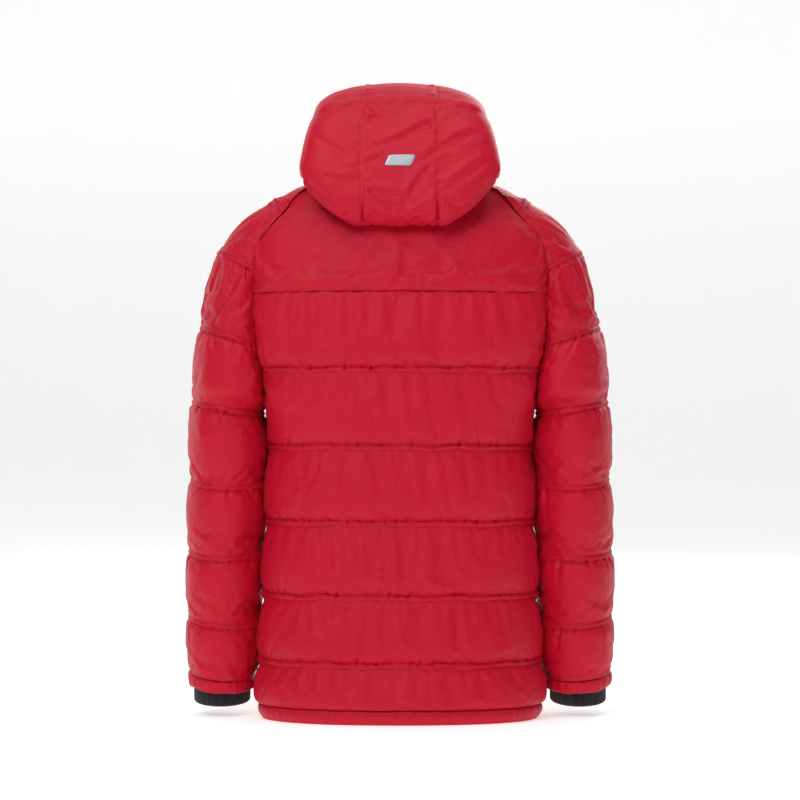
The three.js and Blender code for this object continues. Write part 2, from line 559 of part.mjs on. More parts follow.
const rollAcross = stripShare + (1 - stripShare) / 2; // from the widest point of the hood on one side to the other
function rollPoint(across, r) {
  const [y, z, halfWidth, stand] = rollTable(r);
  const rim = hoodPoint(across, 1);
  const rimEnd = hoodPoint(rollAcross, 1);
  const rimMiddle = hoodPoint(0, 1);
  const x = (rim.x / rimEnd.x) * halfWidth;
  const round = (rim.y - rimEnd.y) / (rimMiddle.y - rimEnd.y);
  const height = bodyLength + z;
  const end = yokeDepth(halfWidth, height) + stand;
  const collarSide = neckRing(Math.PI / 2 - neckTurnAt(Math.abs(x))).y + 0.6;
  const sag = lerp(lerp(end, y, round), rim.y, 1 - smoothstep(r, 0, 0.2));
  const settled = lerp(sag, collarSide, smoothstep(r, 0.95, 1));
  return V(x, settled, height - 2 * sewn + (rim.z - rimMiddle.z) * (1 - smoothstep(r, 0, 0.4)));
}
const rollRows = [0, 0.1, 0.2, 0.32, 0.42, 0.52, 0.58, 0.64, 0.7, 0.76, 0.82, 0.88, 0.95, 1];
const rollColumns = allAcross.filter((a) => Math.abs(a) <= rollAcross + 1e-6);
add("hood_roll", sheet(rollColumns, rollRows, rollPoint, V(0, 120, bodyLength - 40), () => [0, hoodWall],
  (a, r) => (r === 0 ? alongCut(a) : null)), shellRed);

// ---------- main zip ----------
// Everything in this group is laid out along the zip: x across, y inwards from the front face, z up.
const zipLine = new THREE.Group();
zipLine.position.set(0, -hemFront, 0);
zipLine.rotation.x = -Math.atan(frontLean);
jacket.add(zipLine);

function block(x0, x1, y0, y1, z0, z1) {
  const geometry = new THREE.BoxGeometry(x1 - x0, y1 - y0, z1 - z0);
  return geometry.translate((x0 + x1) / 2, (y0 + y1) / 2, (z0 + z1) / 2);
}
const join = (...geometries) => geometryOf(geometries.map(solidOf).reduce((a, b) => a.add(b)));

// A slider seen from the front: a tapered plate, narrow at the bottom.
function plate([width, height], y0, y1) {
  const [a, b] = [width / 2, height];
  const outline = new THREE.Shape([[-a * 0.62, 0], [a * 0.62, 0], [a, b * 0.3], [a, b * 0.86], [a * 0.8, b],
    [-a * 0.8, b], [-a, b * 0.86], [-a, b * 0.3]].map(([x, z]) => new THREE.Vector2(x, z)));
  const geometry = new THREE.ExtrudeGeometry(outline, { depth: y1 - y0, bevelEnabled: false });
  return geometry.rotateX(Math.PI / 2).translate(0, y1, 0);
}

// Depths through a zip, inwards from the front of its slot.
function zipDepths(zip, tapeTop) {
  const toothTop = tapeTop + tapeThick / 2 - zip.toothDeep / 2;
  const toothBottom = toothTop + zip.toothDeep;
  return { tapeTop, toothTop, toothBottom, plateTop: toothTop - sewn - 1.8, plateBottom: toothBottom + sewn + 1.6 };
}

// The pull hangs by a cross bar inside the slider's crown, a narrow arch that stands on its front plate.
const crown = { half: 1, rise: 2.6, thick: 1, bottom: 0.3, top: 0.78 };
const pullPivot = (zip, d) => ({ y: d.plateTop - crown.rise / 2, z: zip.slider[1] * 0.55 });

// Front plate, post through the slit, back plate and crown.
function sliderGeometry(zip, d) {
  const high = zip.slider[1];
  const front = plate(zip.slider, d.plateTop, d.toothTop - sewn);
  const back = plate(zip.slider, d.toothBottom + sewn, d.plateBottom);
  const post = block(-postHalf, postHalf, d.plateTop + 0.5, d.plateBottom - 0.5, high * 0.55, high * 0.85);
  const outside = d.plateTop - crown.rise - crown.thick;
  const [low, top] = [high * crown.bottom, high * crown.top];
  const bridge = (y1, z0, z1) => block(-crown.half, crown.half, outside, y1, z0, z1);
  const feet = [bridge(d.plateTop + 0.4, low, low + crown.thick), bridge(d.plateTop + 0.4, top - crown.thick, top)];
  return join(front, back, post, bridge(outside + crown.thick, low, top), ...feet);
}

function pullGeometry(zip, d) {
  const [width, length, thick] = zip.pull;
  const pivot = pullPivot(zip, d);
  const eyeLow = Math.hypot(pivot.z - zip.slider[1] * crown.bottom, crown.rise / 2 + crown.thick) + 0.5;
  const [a, bar, eyeHalf] = [width / 2, thick / 2, crown.half + 0.4];
  const outline = new THREE.Shape();
  outline.moveTo(-a, bar).lineTo(-a, -length * 0.4).lineTo(-a * 0.75, -length + 2);
  outline.quadraticCurveTo(0, -length - 2, a * 0.75, -length + 2);
  outline.lineTo(a, -length * 0.4).lineTo(a, bar);
  const eye = new THREE.Path();
  eye.moveTo(-eyeHalf, -bar).lineTo(eyeHalf, -bar).lineTo(eyeHalf, -eyeLow).lineTo(-eyeHalf, -eyeLow).closePath();
  outline.holes.push(eye);
  const geometry = new THREE.ExtrudeGeometry(outline, { depth: thick, bevelEnabled: false, curveSegments: 6 });
  return geometry.rotateX(Math.PI / 2).translate(0, pivot.y + thick / 2, pivot.z);
}

const front = zipDepths(frontZip, 3.6);
const zipBottom = 0.5;
const boxTop = 10;
const zipEnd = (bodyLength - 21.5 + collarHeight) * Math.hypot(1, frontLean) - 4;
const toothOuter = chainHalfGap + frontZip.toothWide;
for (const [hand, name] of [[1, "left"], [-1, "right"]]) {
  const strip = (x0, x1, ...rest) => block(hand > 0 ? x0 : -x1, hand > 0 ? x1 : -x0, ...rest);
  add("zip_tape_" + name, strip(toothOuter + sewn, toothOuter + sewn + frontZip.tapeWide, front.tapeTop,
    front.tapeTop + tapeThick, boxTop + sewn, zipEnd), tapeBlack, zipLine);
  add("zip_teeth_" + name, strip(chainHalfGap, toothOuter, front.toothTop, front.toothBottom,
    boxTop + sewn, zipEnd - 3), zipBlack, zipLine);
  add("zip_stop_" + name, strip(chainHalfGap, toothOuter, front.toothTop - 0.3, front.toothBottom,
    zipEnd - 3 + sewn, zipEnd), zipMetal, zipLine);
}
const boxHalf = frontZip.slot / 2 - sewn;
add("zip_box", block(-boxHalf, boxHalf, 1.2, front.toothBottom + 0.6, zipBottom, boxTop), zipBlack, zipLine);
const guardHalf = 30;
const guardDepth = [10.2, 12.2];
add("wind_guard", block(-guardHalf, guardHalf, ...guardDepth, 12, 775 * up), liningGrey, zipLine);

const parkedAt = zipEnd - 3 - frontZip.slider[1] - 1;
const mainSlider = new THREE.Group();
mainSlider.position.z = parkedAt;
zipLine.add(mainSlider);
add("main_slider", sliderGeometry(frontZip, front), zipMetal, mainSlider);
add("main_pull", pullGeometry(frontZip, front), zipBlack, mainSlider);

// ---------- hand pockets ----------
const pocketMiddle = 286 * up;
const pocketTurn = 0.55; // share of the front panel from the side seam
const pocketSlant = 0.035;
const racetrack = (width, length) => {
  const outline = new THREE.Shape();
  const [r, h] = [width / 2, length / 2 - width / 2];
  outline.moveTo(r, -h).lineTo(r, h).absarc(0, h, r, 0, Math.PI).lineTo(-r, -h).absarc(0, -h, r, Math.PI, 2 * Math.PI);
  return outline;
};
// An extrusion of a flat outline standing in x and z, from depth y0 to y1.
const slab = (outline, y0, y1) => new THREE.ExtrudeGeometry(outline,
  { depth: y1 - y0, bevelEnabled: false, curveSegments: 6 }).rotateX(Math.PI / 2).translate(0, y1, 0);

const pocketDepths = zipDepths(pocketZip, weltDepth[1] + sewn);

function pocketGroup(hand) {
  const surface = bodySurface(-1, hand, 0, 0);
  const reach = pocketLength / 2;
  const at = (dz) => surface(pocketTurn + (pocketSlant * dz) / reach, pocketMiddle + dz);
  const along = at(reach).sub(at(-reach)).normalize();
  const across = surface(pocketTurn + 0.03, pocketMiddle).sub(surface(pocketTurn - 0.03, pocketMiddle));
  const inwards = across.cross(along).normalize();
  if (inwards.y < 0) inwards.negate();
  const x = new THREE.Vector3().crossVectors(inwards, along);
  const group = new THREE.Group();
  group.quaternion.setFromRotationMatrix(new THREE.Matrix4().makeBasis(x, inwards, along));
  group.position.copy(at(0));
  jacket.add(group);
  return group;
}

const weltLength = pocketLength + 26;
for (const [hand, name] of [[1, "left"], [-1, "right"]]) {
  const group = pocketGroup(hand);
  group.updateWorldMatrix(true, false);
  const ring = racetrack(weltWide, weltLength);
  ring.holes.push(new THREE.Path(racetrack(pocketZip.slot, pocketLength).getPoints(6).reverse()));
  add("pocket_welt_" + name, slab(ring, ...weltDepth), shellRed, group);
  const cut = slab(racetrack(weltWide + 2 * sewn, weltLength + 2 * sewn), -30, wall + 8);
  const panel = jacket.getObjectByName("front_panel_" + name);
  panel.geometry = geometryOf(solidOf(panel.geometry).subtract(solidOf(cut.applyMatrix4(group.matrixWorld))));

  const d = pocketDepths;
  const [near, far] = [chainHalfGap, chainHalfGap + pocketZip.toothWide];
  const edge = far + pocketZip.tapeWide - 2;
  const end = pocketLength / 2 + 4;
  const tape = block(-edge, edge, d.tapeTop, d.tapeTop + tapeThick, -end, end);
  const chains = [1, -1].map((s) => block(s > 0 ? near : -far, s > 0 ? far : -near, d.toothTop, d.toothBottom,
    -end + 9, end - 9));
  const slit = solidOf(block(-near, near, d.tapeTop - 2, d.toothBottom + 2, -end + 9, end - 9));
  const closed = solidOf(join(tape, ...chains)).subtract(slit);
  add("pocket_zip_" + name, geometryOf(closed), zipBlack, group);

  const slider = new THREE.Group();
  slider.position.z = pocketLength / 2 - pocketZip.slider[1] - 8;
  group.add(slider);
  add("pocket_slider_" + name, sliderGeometry(pocketZip, d), zipMetal, slider);
  add("pocket_pull_" + name, pullGeometry(pocketZip, d), zipBlack, slider);

  // The flat bag follows the body between the padding and the lining.
  const bagDepth = wall + liningGap + frontRoom - 2.2;
  const bagRows = [115, 186, 296, 385].map((z) => z * up);
  add("pocket_bag_" + name, sheet(frontColumns.slice(3, 8), bagRows, bodySurface(-1, hand, 0, 0), V(0, 0, 290 * up),
    () => [bagDepth, bagDepth + 1.6]), liningGrey);
}

// Put the middle of the whole jacket over the origin.
jacket.updateMatrixWorld(true);
const box = new THREE.Box3().setFromObject(jacket, true);
jacket.position.y -= (box.min.y + box.max.y) / 2;

export default jacket;
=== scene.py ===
import math
import bpy
import numpy as np
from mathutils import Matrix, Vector


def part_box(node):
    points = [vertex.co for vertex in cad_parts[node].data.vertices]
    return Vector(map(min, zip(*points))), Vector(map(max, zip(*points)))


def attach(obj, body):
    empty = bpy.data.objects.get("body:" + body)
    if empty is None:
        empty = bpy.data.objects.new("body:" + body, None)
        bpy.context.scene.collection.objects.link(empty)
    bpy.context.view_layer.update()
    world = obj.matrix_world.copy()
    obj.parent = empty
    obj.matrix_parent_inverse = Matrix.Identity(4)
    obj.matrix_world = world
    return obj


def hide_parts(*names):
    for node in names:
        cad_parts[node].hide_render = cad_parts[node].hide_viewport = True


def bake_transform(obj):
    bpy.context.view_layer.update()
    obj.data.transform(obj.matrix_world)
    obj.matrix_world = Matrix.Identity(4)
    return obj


# A hooded, quilted ski jacket, zipped up with its hood raised.
# The pattern is in millimetres; the meshes are in metres, in the frame's own axes.

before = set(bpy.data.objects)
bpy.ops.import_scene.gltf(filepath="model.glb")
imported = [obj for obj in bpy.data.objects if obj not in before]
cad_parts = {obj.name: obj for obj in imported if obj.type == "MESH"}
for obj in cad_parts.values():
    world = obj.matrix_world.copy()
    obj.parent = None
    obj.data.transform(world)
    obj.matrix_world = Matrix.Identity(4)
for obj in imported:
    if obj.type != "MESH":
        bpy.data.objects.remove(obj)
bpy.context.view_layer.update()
mm = 0.001

# curves and grids of points, which every piece is made from


def smooth(x, low, high):
    f = np.clip((np.asarray(x, float) - low) / (high - low), 0, 1)
    return f * f * (3 - 2 * f)


def mix(a, b, f):
    return a + (np.asarray(b) - a) * f


def through(stations):
    # a smooth curve through [t, a, b, ...] rows that never overshoots them
    table = np.array(stations, float)
    at, values = table[:, 0], table[:, 1:]
    rise = np.diff(values, axis=0) / np.diff(at)[:, None]
    slope = np.vstack([rise[:1], np.zeros_like(rise[1:]), rise[-1:]])
    both = rise[:-1] + rise[1:]
    product = rise[:-1] * rise[1:]
    slope[1:-1] = np.where(product > 0, 2 * product / np.where(both == 0, 1, both), 0)

    def curve(t):
        t = np.asarray(t, float)
        i = np.clip(np.searchsorted(at, t, side="left") - 1, 0, len(at) - 2)
        h = (at[i + 1] - at[i])[..., None]
        f = np.clip((t[..., None] - at[i][..., None]) / h, 0, 1)
        bow = h * f * (1 - f) * ((1 - f) * slope[i] - f * slope[i + 1])
        found = mix(values[i], values[i + 1], f * f * (3 - 2 * f)) + bow
        return [found[..., k] for k in range(found.shape[-1])]

    return curve


def points(x, y, z):
    return np.stack(np.broadcast_arrays(x, y, z), -1).astype(float)


def normalsOf(grid):
    down, right = np.gradient(grid, axis=0), np.gradient(grid, axis=1)
    n = np.cross(right, down)
    return n / np.maximum(np.linalg.norm(n, axis=-1, keepdims=True), 1e-12)


def outwards(grid, centre):
    # unit normals that point away from centre
    n = normalsOf(grid)
    side = np.sign(np.sum(n * (grid - np.array(centre, float))))
    return n * (side or 1)


def finer(grid, times=1):
    # twice as many cells along both sides, on a cubic through the old points
    for _ in range(times):
        for axis in (0, 1):
            g = np.moveaxis(grid, axis, 0)
            made = np.empty((2 * len(g) - 1,) + g.shape[1:])
            made[::2] = g
            padded = np.concatenate([2 * g[:1] - g[1:2], g, 2 * g[-1:] - g[-2:-1]])
            made[1::2] = (9 * (padded[1:-2] + padded[2:-1]) - padded[:-3] - padded[3:]) / 16
            grid = np.moveaxis(made, 0, axis)
    return grid


def finerList(values, times=1):
    for _ in range(times):
        made = np.empty(2 * len(values) - 1)
        made[::2] = values
        made[1::2] = (values[:-1] + values[1:]) / 2
        values = made
    return values


def sample(grid, rows, columns, atRow, atColumn):
    # points of a grid at given row and column values
    i = np.interp(atRow, rows, np.arange(len(rows)))
    j = np.interp(atColumn, columns, np.arange(len(columns)))
    i0 = np.clip(i.astype(int), 0, len(rows) - 2)
    j0 = np.clip(j.astype(int), 0, len(columns) - 2)
    fi, fj = (i - i0)[..., None], (j - j0)[..., None]
    top = mix(grid[i0, j0], grid[i0, j0 + 1], fj)
    low = mix(grid[i0 + 1, j0], grid[i0 + 1, j0 + 1], fj)
    return mix(top, low, fi)


def waves(x, seed, shortest, longest, count=6):
    # a smooth random line, about -1 to 1
    luck = np.random.default_rng(seed)
    x = np.asarray(x, float)
    total = np.zeros_like(x)
    for _ in range(count):
        length = luck.uniform(shortest, longest)
        total += np.sin(2 * math.pi * x / length + luck.uniform(0, 6.3))
    return total / math.sqrt(count) / 1.2


def slantedNoise(grid, seed, size):
    # soft folds that lie on a slant, from the grid's own places
    luck = np.random.default_rng(seed)
    total = np.zeros(grid.shape[:2])
    for _ in range(9):
        way = luck.normal(size=3) * np.array([1, 0.8, 1.3])
        way /= np.linalg.norm(way)
        length = luck.uniform(*size)
        phase = grid @ way * 2 * math.pi / (length * mm) + luck.uniform(0, 6.3)
        bent = phase + 1.4 * np.sin(grid @ luck.normal(size=3) / mm * 0.03 + luck.uniform(0, 6.3))
        total += (1 - np.abs(np.sin(bent / 2))) ** 1.5 - 0.42
    return total / 3


# the pattern: the same surfaces as the frame, worked out again as grids

body = {
    "length": 811, "neckHalfWidth": 92, "neckHalfDepth": 82.5, "neckMiddle": -10, "hemFront": 132,
    "frontLean": 0.05, "fullness": 2.3, "slot": 15, "neckCorner": 35,
    "seams": [21, 87, 186, 296, 408, 523, 636], "wall": 8,
}
# up the side seam: height, half width, how far the seam stands behind the middle,
# depth of the back, how far the back is lifted
bodyTable = through([
    [0, 212, 0, 128, 0], [21, 213, 0, 128, 0], [87, 207, 0, 126, 0], [186, 201, 0, 122, 0],
    [296, 197, 0, 120, 0], [408, 195, 0, 122, 0], [440, 197, 0, 123, 0], [458, 201, 1, 124, 0],
    [478, 203, 22, 125, 0], [506, 205, 44, 127, 0], [560, 213, 57, 130, 0], [636, 219, 61, 131, 2],
    [673, 219, 61, 127, 5],
    [705, 215, 59, 117, 8], [726, 204, 56, 108, 9], [760, 175, 48, 94, 5], [790, 147, 42, 84, 2],
    [806, 100, 39, 76, 6], [811, 76, 38, 72, 6]])
# the table's hem stands this far in front of the frame's
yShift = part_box("hem_band")[1].y / mm - 128
fullness = body["fullness"]
neckCorner = math.radians(body["neckCorner"])


def toFrame(grid):
    return (grid + np.array([0, yShift, 0])) * mm


def bend(c):
    return np.sign(c) * np.abs(c) ** (2 / fullness)


def neckRing(turn, grow=0):
    y = body["neckMiddle"] + (body["neckHalfDepth"] + grow) * bend(np.sin(turn))
    z = body["length"] - 8 + 0.15 * y + 8.5 * np.cos(turn) ** 2
    return points((body["neckHalfWidth"] + grow) * bend(np.cos(turn)), y, z)


def neckTurnAt(x):
    return np.arcsin(np.minimum(1, np.abs(x) / body["neckHalfWidth"]) ** (fullness / 2))


def neckDrop(z):
    return 13 * smooth(z, 740, 800)


def slotTurn(z):
    return np.arccos((body["slot"] / 2 / bodyTable(z)[0]) ** (fullness / 2))


def bodyPoint(turn, z, back):
    # turn 0 is the left side seam and a half turn the right one; back is 1 behind and -1 in front
    x, y, deep, lift = bodyTable(z)
    c, s = bend(np.cos(turn)), np.abs(bend(np.sin(turn)))
    if back > 0:
        return points(x * c, y + (deep - y) * s, z + lift * s)
    drop = neckDrop(z)
    low = z - drop
    front = body["hemFront"] - body["frontLean"] * low
    return points(x * c, mix(-y - 1.2 * drop, -front, s), low)


def nearNeck(z):
    return smooth(z, mix(636, body["length"], 0.72), body["length"])


def bodySurface(back, hand, u, z):
    # u runs over the back from side seam to side seam, or in front from the side seam to the zip
    top = body["length"]
    turn = u * math.pi if back > 0 else u * slotTurn(z)
    q = bodyPoint(turn, z, back)
    if np.max(z) > 640:
        if back > 0:
            ring = mix(neckCorner, math.pi - neckCorner, u)
            rim = bodyPoint(u * math.pi, np.full_like(z, top), 1)
        else:
            ring = -mix(neckCorner, math.pi / 2 - neckTurnAt(body["slot"] / 2), u)
            rim = bodyPoint(u * slotTurn(np.full_like(z, top)), np.full_like(z, top), -1)
        q = q + (neckRing(ring) - rim) * nearNeck(z)[..., None]
    q[..., 0] *= hand
    return q


# levels down the arm: 0 neck, 1 first channel, 2 sleeve head, 3 to 8 quilting seams, 9 cuff edge
# ridge of the arm x, y, z, half depth of the sleeve, degrees from the ridge to the body, how the rings tip
armTable = through([
    [0, 92, -10, 810, 46, 68, 0], [0.5, 142, -5, 806, 48, 68, 0], [1, 190, -4, 783, 52, 72, 0],
    [1.5, 240, -4, 752, 58, 85, 0], [2, 275, -4, 702, 66, 100, 0], [3, 301, -5, 587, 80, 131, 0],
    [3.5, 309, -6, 530, 82, 152, 0], [4, 314, -8, 476, 82, 180, 0.03], [5, 317, -14, 359, 78, 180, 0.12],
    [6, 321, -22, 250, 72, 180, 0.12], [7, 322, -30, 151, 66, 180, 0.13], [8, 321, -36, 67, 61, 180, 0.14],
    [9, 320, -39, 46, 60, 180, 0.14]])
# where the sleeve ends against the body, then its underarm line: height, x
underTable = through([
    [0, 811, 92], [0.5, 797, 140], [1, 760, 175], [1.5, 722, 205], [2, 673, 219], [3, 560, 213],
    [3.7, 487, 205],
    [4, 458, 206], [5, 353, 210], [6, 247, 214], [7, 141, 217], [8, 59, 221], [9, 41, 223]])


def armEnd(t, back):
    z, x = underTable(t)
    under = points(x, armTable(t)[1], z)
    bodyX, bodyY, _, _ = bodyTable(z)
    slope = (bodyTable(z + 1)[0] - bodyTable(z - 1)[0]) / 2
    drop = neckDrop(z) if back < 0 else 0
    away = points(1, 0, -slope)
    away /= np.linalg.norm(away, axis=-1, keepdims=True)
    onBody = points(bodyX, back * (bodyY + 1.2 * drop + body["wall"]), z - drop) - 0.5 * away
    toNeck = neckRing(np.array(back * neckCorner)) - bodyPoint(np.array(0.0), np.array(811.0), back)
    onBody = onBody + toNeck * nearNeck(z)[..., None]
    return mix(onBody, under, smooth(t, 3.72, 4)[..., None])


def armHalf(share, t, back):
    x, y, z, deep, sweep, tip = armTable(t)
    sweep = np.radians(sweep)
    turn = share * sweep
    end = armEnd(t, back)
    c = (1 - np.cos(turn)) / (1 - np.cos(sweep))
    bulge = back * deep * np.sin(turn)
    q = points(mix(x, end[..., 0], c), y + bulge, mix(z, end[..., 2], c) - tip * bulge)
    q[..., 1] += (end[..., 1] - y - back * deep * np.sin(sweep)) * share
    return q


def armSurface(a, t, hand):
    # a is -1 along the back edge, 0 on the ridge of the arm and 1 along the front edge
    share = np.abs(a)
    made = []
    for back in (1, -1):
        q = armHalf(share, t, back)
        top = armHalf(share, np.full_like(t, 0.5), back)
        neck = neckRing(back * (neckCorner + 0.006) * share)
        low = np.minimum(t / 0.5, 1)[..., None]
        made.append(np.where((t < 0.5)[..., None], mix(neck, top, low), q))
    q = np.where((a < 0)[..., None], made[0], made[1])
    q[..., 0] *= hand
    return q


def collarSurface(turn, h):
    q = neckRing(turn)
    q[..., 2] += h
    q[..., 1] += body["frontLean"] * h * smooth(-np.sin(turn), -0.2, 1)
    return q


hood = {
    "strip": 55, "stripShare": 0.2, "rollAcross": 0.6, "hem": 0.035, "squareness": 3.5, "faceShare": 0.88,
    "dome": 4,
}
# down the middle of the hood from the face edge: share, y, height above the neck
hoodSpine = through([
    [0, -118, 127], [0.12, -60, 142], [0.25, 0, 144.5], [0.4, 60, 127], [0.56, 104, 89], [0.74, 128, 39],
    [1, 142, -11]])
# half width at each height above the neck
hoodWidth = through([
    [-73, 52], [-64, 75], [-51, 97], [-34, 122], [-11, 143], [0, 148], [12, 150], [36, 147], [75, 139],
    [93, 133],
    [111, 130], [129, 118], [139, 95], [146, 60]])
# below its hinge line the hood sags over the yoke: share, y and height, half width,
# how far its ends stand off
rollTable = through([
    [0, 142, -11, 147, 18], [0.2, 147, -34, 122, 18], [0.4, 142, -55, 92, 18], [0.52, 130, -68, 68, 15],
    [0.64, 117, -72, 52, 11], [0.76, 106, -58, 56, 5], [0.88, 96, -28, 60, 5], [0.95, 84, -4, 60, 4.5],
    [1, 73.1, 12, 58, 0.4]])


def hoodSurface(a, s):
    strip, share = hood["strip"], hood["stripShare"]
    y, z = hoodSpine(s)
    top = points(strip, y, body["length"] + z)
    turn = mix(math.radians(-35), math.radians(50), s)
    foot = neckRing(turn, mix(12, 8, smooth(s, 0, 0.5))) + np.array([0, 0, 8])
    reach = np.abs(a)
    f = np.clip((reach - share) / (1 - share), 0, 1)
    corner = math.pi / 2 * np.minimum(1, 2 * f) ** 1.2
    boxy = 2 / hood["squareness"]
    down = np.where(f < 0.5, 0.5 * (1 - np.abs(np.cos(corner)) ** boxy), f)
    q = mix(top, foot, down[..., None])
    (width,) = hoodWidth(q[..., 2] - body["length"])
    full = width * mix(hood["faceShare"], 1, smooth(s, 0, 0.2))
    x = mix(strip, full, np.sin(corner) ** boxy)
    x = np.where(f > 0.5, mix(x, foot[..., 0], smooth(f, 0.5, 1)), x)
    q[..., 0] = np.where(reach <= share, strip * reach / share, x) * np.sign(a)
    return q


def yokeDepth(x, z):
    halfWidth, edge, deep, _ = bodyTable(np.minimum(z, body["length"]))
    c = np.minimum(1, np.abs(x) / halfWidth) ** fullness
    return edge + (deep - edge) * (1 - c) ** (1 / fullness)


def rollSurface(a, r):
    y, z, halfWidth, stand = rollTable(r)
    rim = hoodSurface(a, np.ones_like(r))
    rimEnd = hoodSurface(np.array(hood["rollAcross"]), np.array(1.0))
    rimMiddle = hoodSurface(np.array(0.0), np.array(1.0))
    reach = np.abs(rim[..., 0])
    seam = np.minimum(hood["strip"], 0.8 * halfWidth)
    outside = mix(seam, halfWidth, (reach - hood["strip"]) / (rimEnd[0] - hood["strip"]))
    x = np.where(reach < hood["strip"], reach / hood["strip"] * seam, outside) * np.sign(rim[..., 0])
    around = (rim[..., 1] - rimEnd[1]) / (rimMiddle[1] - rimEnd[1])
    height = body["length"] + z
    end = yokeDepth(halfWidth, height) + stand
    collarSide = neckRing(math.pi / 2 - neckTurnAt(x))[..., 1] + 0.6
    sag = mix(mix(end, y, around), rim[..., 1], 1 - smooth(r, 0, 0.2))
    settled = mix(sag, collarSide, smooth(r, 0.95, 1))
    return points(x, settled, height - 0.6 + (rim[..., 2] - rimMiddle[2]) * (1 - smooth(r, 0, 0.4)))


# grids made into closed sheets, rods and draped cloth


def newObject(name, mesh, materials=()):
    obj = bpy.data.objects.new(name, mesh)
    bpy.context.scene.collection.objects.link(obj)
    for m in materials:
        mesh.materials.append(m)
    return obj


def addMap(mesh, us, vs):
    # a map in metres, so that a weave has its real size
    layer = mesh.uv_layers.new(name="cloth")
    corners = np.zeros(len(mesh.loops), np.int32)
    mesh.loops.foreach_get("vertex_index", corners)
    both = np.stack([us[corners], vs[corners]], -1).astype(np.float32)
    layer.data.foreach_set("uv", both.ravel())


def meshFrom(name, verts, faces):
    mesh = bpy.data.meshes.new(name)
    mesh.from_pydata(verts.reshape(-1, 3).tolist(), [], faces.tolist())
    mesh.polygons.foreach_set("use_smooth", np.ones(len(mesh.polygons), bool))
    return mesh


def clothMap(grid):
    # distance along the rows and columns of a grid, measured at its middle
    across = np.linalg.norm(np.diff(grid, axis=1), axis=-1)
    down = np.linalg.norm(np.diff(grid, axis=0), axis=-1)
    u = np.concatenate([[0], np.cumsum(across.mean(0))])
    v = np.concatenate([[0], np.cumsum(down.mean(1))])
    return np.broadcast_to(u, grid.shape[:2]), np.broadcast_to(v[:, None], grid.shape[:2])


def shell(name, outer, inner, materials, keep=None, sharp=55):
    # a closed sheet between two grids; keep says which cells are cloth
    rows, columns = outer.shape[:2]
    count = rows * columns
    index = np.arange(count).reshape(rows, columns)
    cells = np.stack([index[:-1, :-1], index[:-1, 1:], index[1:, 1:], index[1:, :-1]], -1)
    cells = cells[keep] if keep is not None else cells.reshape(-1, 4)
    n = normalsOf(outer)
    if np.sum(n * (outer - inner)) < 0:
        cells = cells[:, ::-1]
    edges = np.concatenate([cells[:, [k, (k + 1) % 4]] for k in range(4)])
    key = edges.min(1) * count + edges.max(1)
    _, where, times = np.unique(key, return_index=True, return_counts=True)
    rim = edges[where[times == 1]]
    sides = np.stack([rim[:, 1], rim[:, 0], rim[:, 0] + count, rim[:, 1] + count], -1)
    faces = np.concatenate([cells, cells[:, ::-1] + count, sides])
    verts = np.concatenate([outer.reshape(-1, 3), inner.reshape(-1, 3)])
    used = np.unique(faces)
    place = np.full(2 * count, -1)
    place[used] = np.arange(len(used))
    mesh = meshFrom(name, verts[used], place[faces])
    u, v = clothMap(outer)
    addMap(mesh, np.tile(u.ravel(), 2)[used], np.tile(v.ravel(), 2)[used])
    mesh.set_sharp_from_angle(angle=math.radians(sharp))
    return newObject(name, mesh, materials)


def tubes(name, lines, radius, materials, sides=5):
    # short rods along lines, one closed body each
    verts, faces = [], []
    for line in lines:
        line = np.asarray(line, float)
        way = np.gradient(line, axis=0)
        way /= np.maximum(np.linalg.norm(way, axis=1, keepdims=True), 1e-12)
        spare = np.where(np.abs(way[:, 2:]) > 0.8, [1.0, 0, 0], [0, 0, 1.0])
        a = np.cross(way, spare)
        a /= np.linalg.norm(a, axis=1, keepdims=True)
        b = np.cross(way, a)
        turn = np.arange(sides) * 2 * math.pi / sides
        side = a[:, None] * np.cos(turn)[:, None] + b[:, None] * np.sin(turn)[:, None]
        ring = line[:, None] + radius * side
        first = len(verts)
        verts.extend(ring.reshape(-1, 3).tolist())
        for i in range(len(line) - 1):
            for k in range(sides):
                p, q = first + i * sides + k, first + i * sides + (k + 1) % sides
                faces.append((p, q, q + sides, p + sides))
        last = first + (len(line) - 1) * sides
        faces.append(tuple(first + k for k in reversed(range(sides))))
        faces.append(tuple(last + k for k in range(sides)))
    mesh = bpy.data.meshes.new(name)
    mesh.from_pydata(verts, [], faces)
    mesh.polygons.foreach_set("use_smooth", np.ones(len(mesh.polygons), bool))
    mesh.set_sharp_from_angle(angle=math.radians(60))
    return newObject(name, mesh, materials)


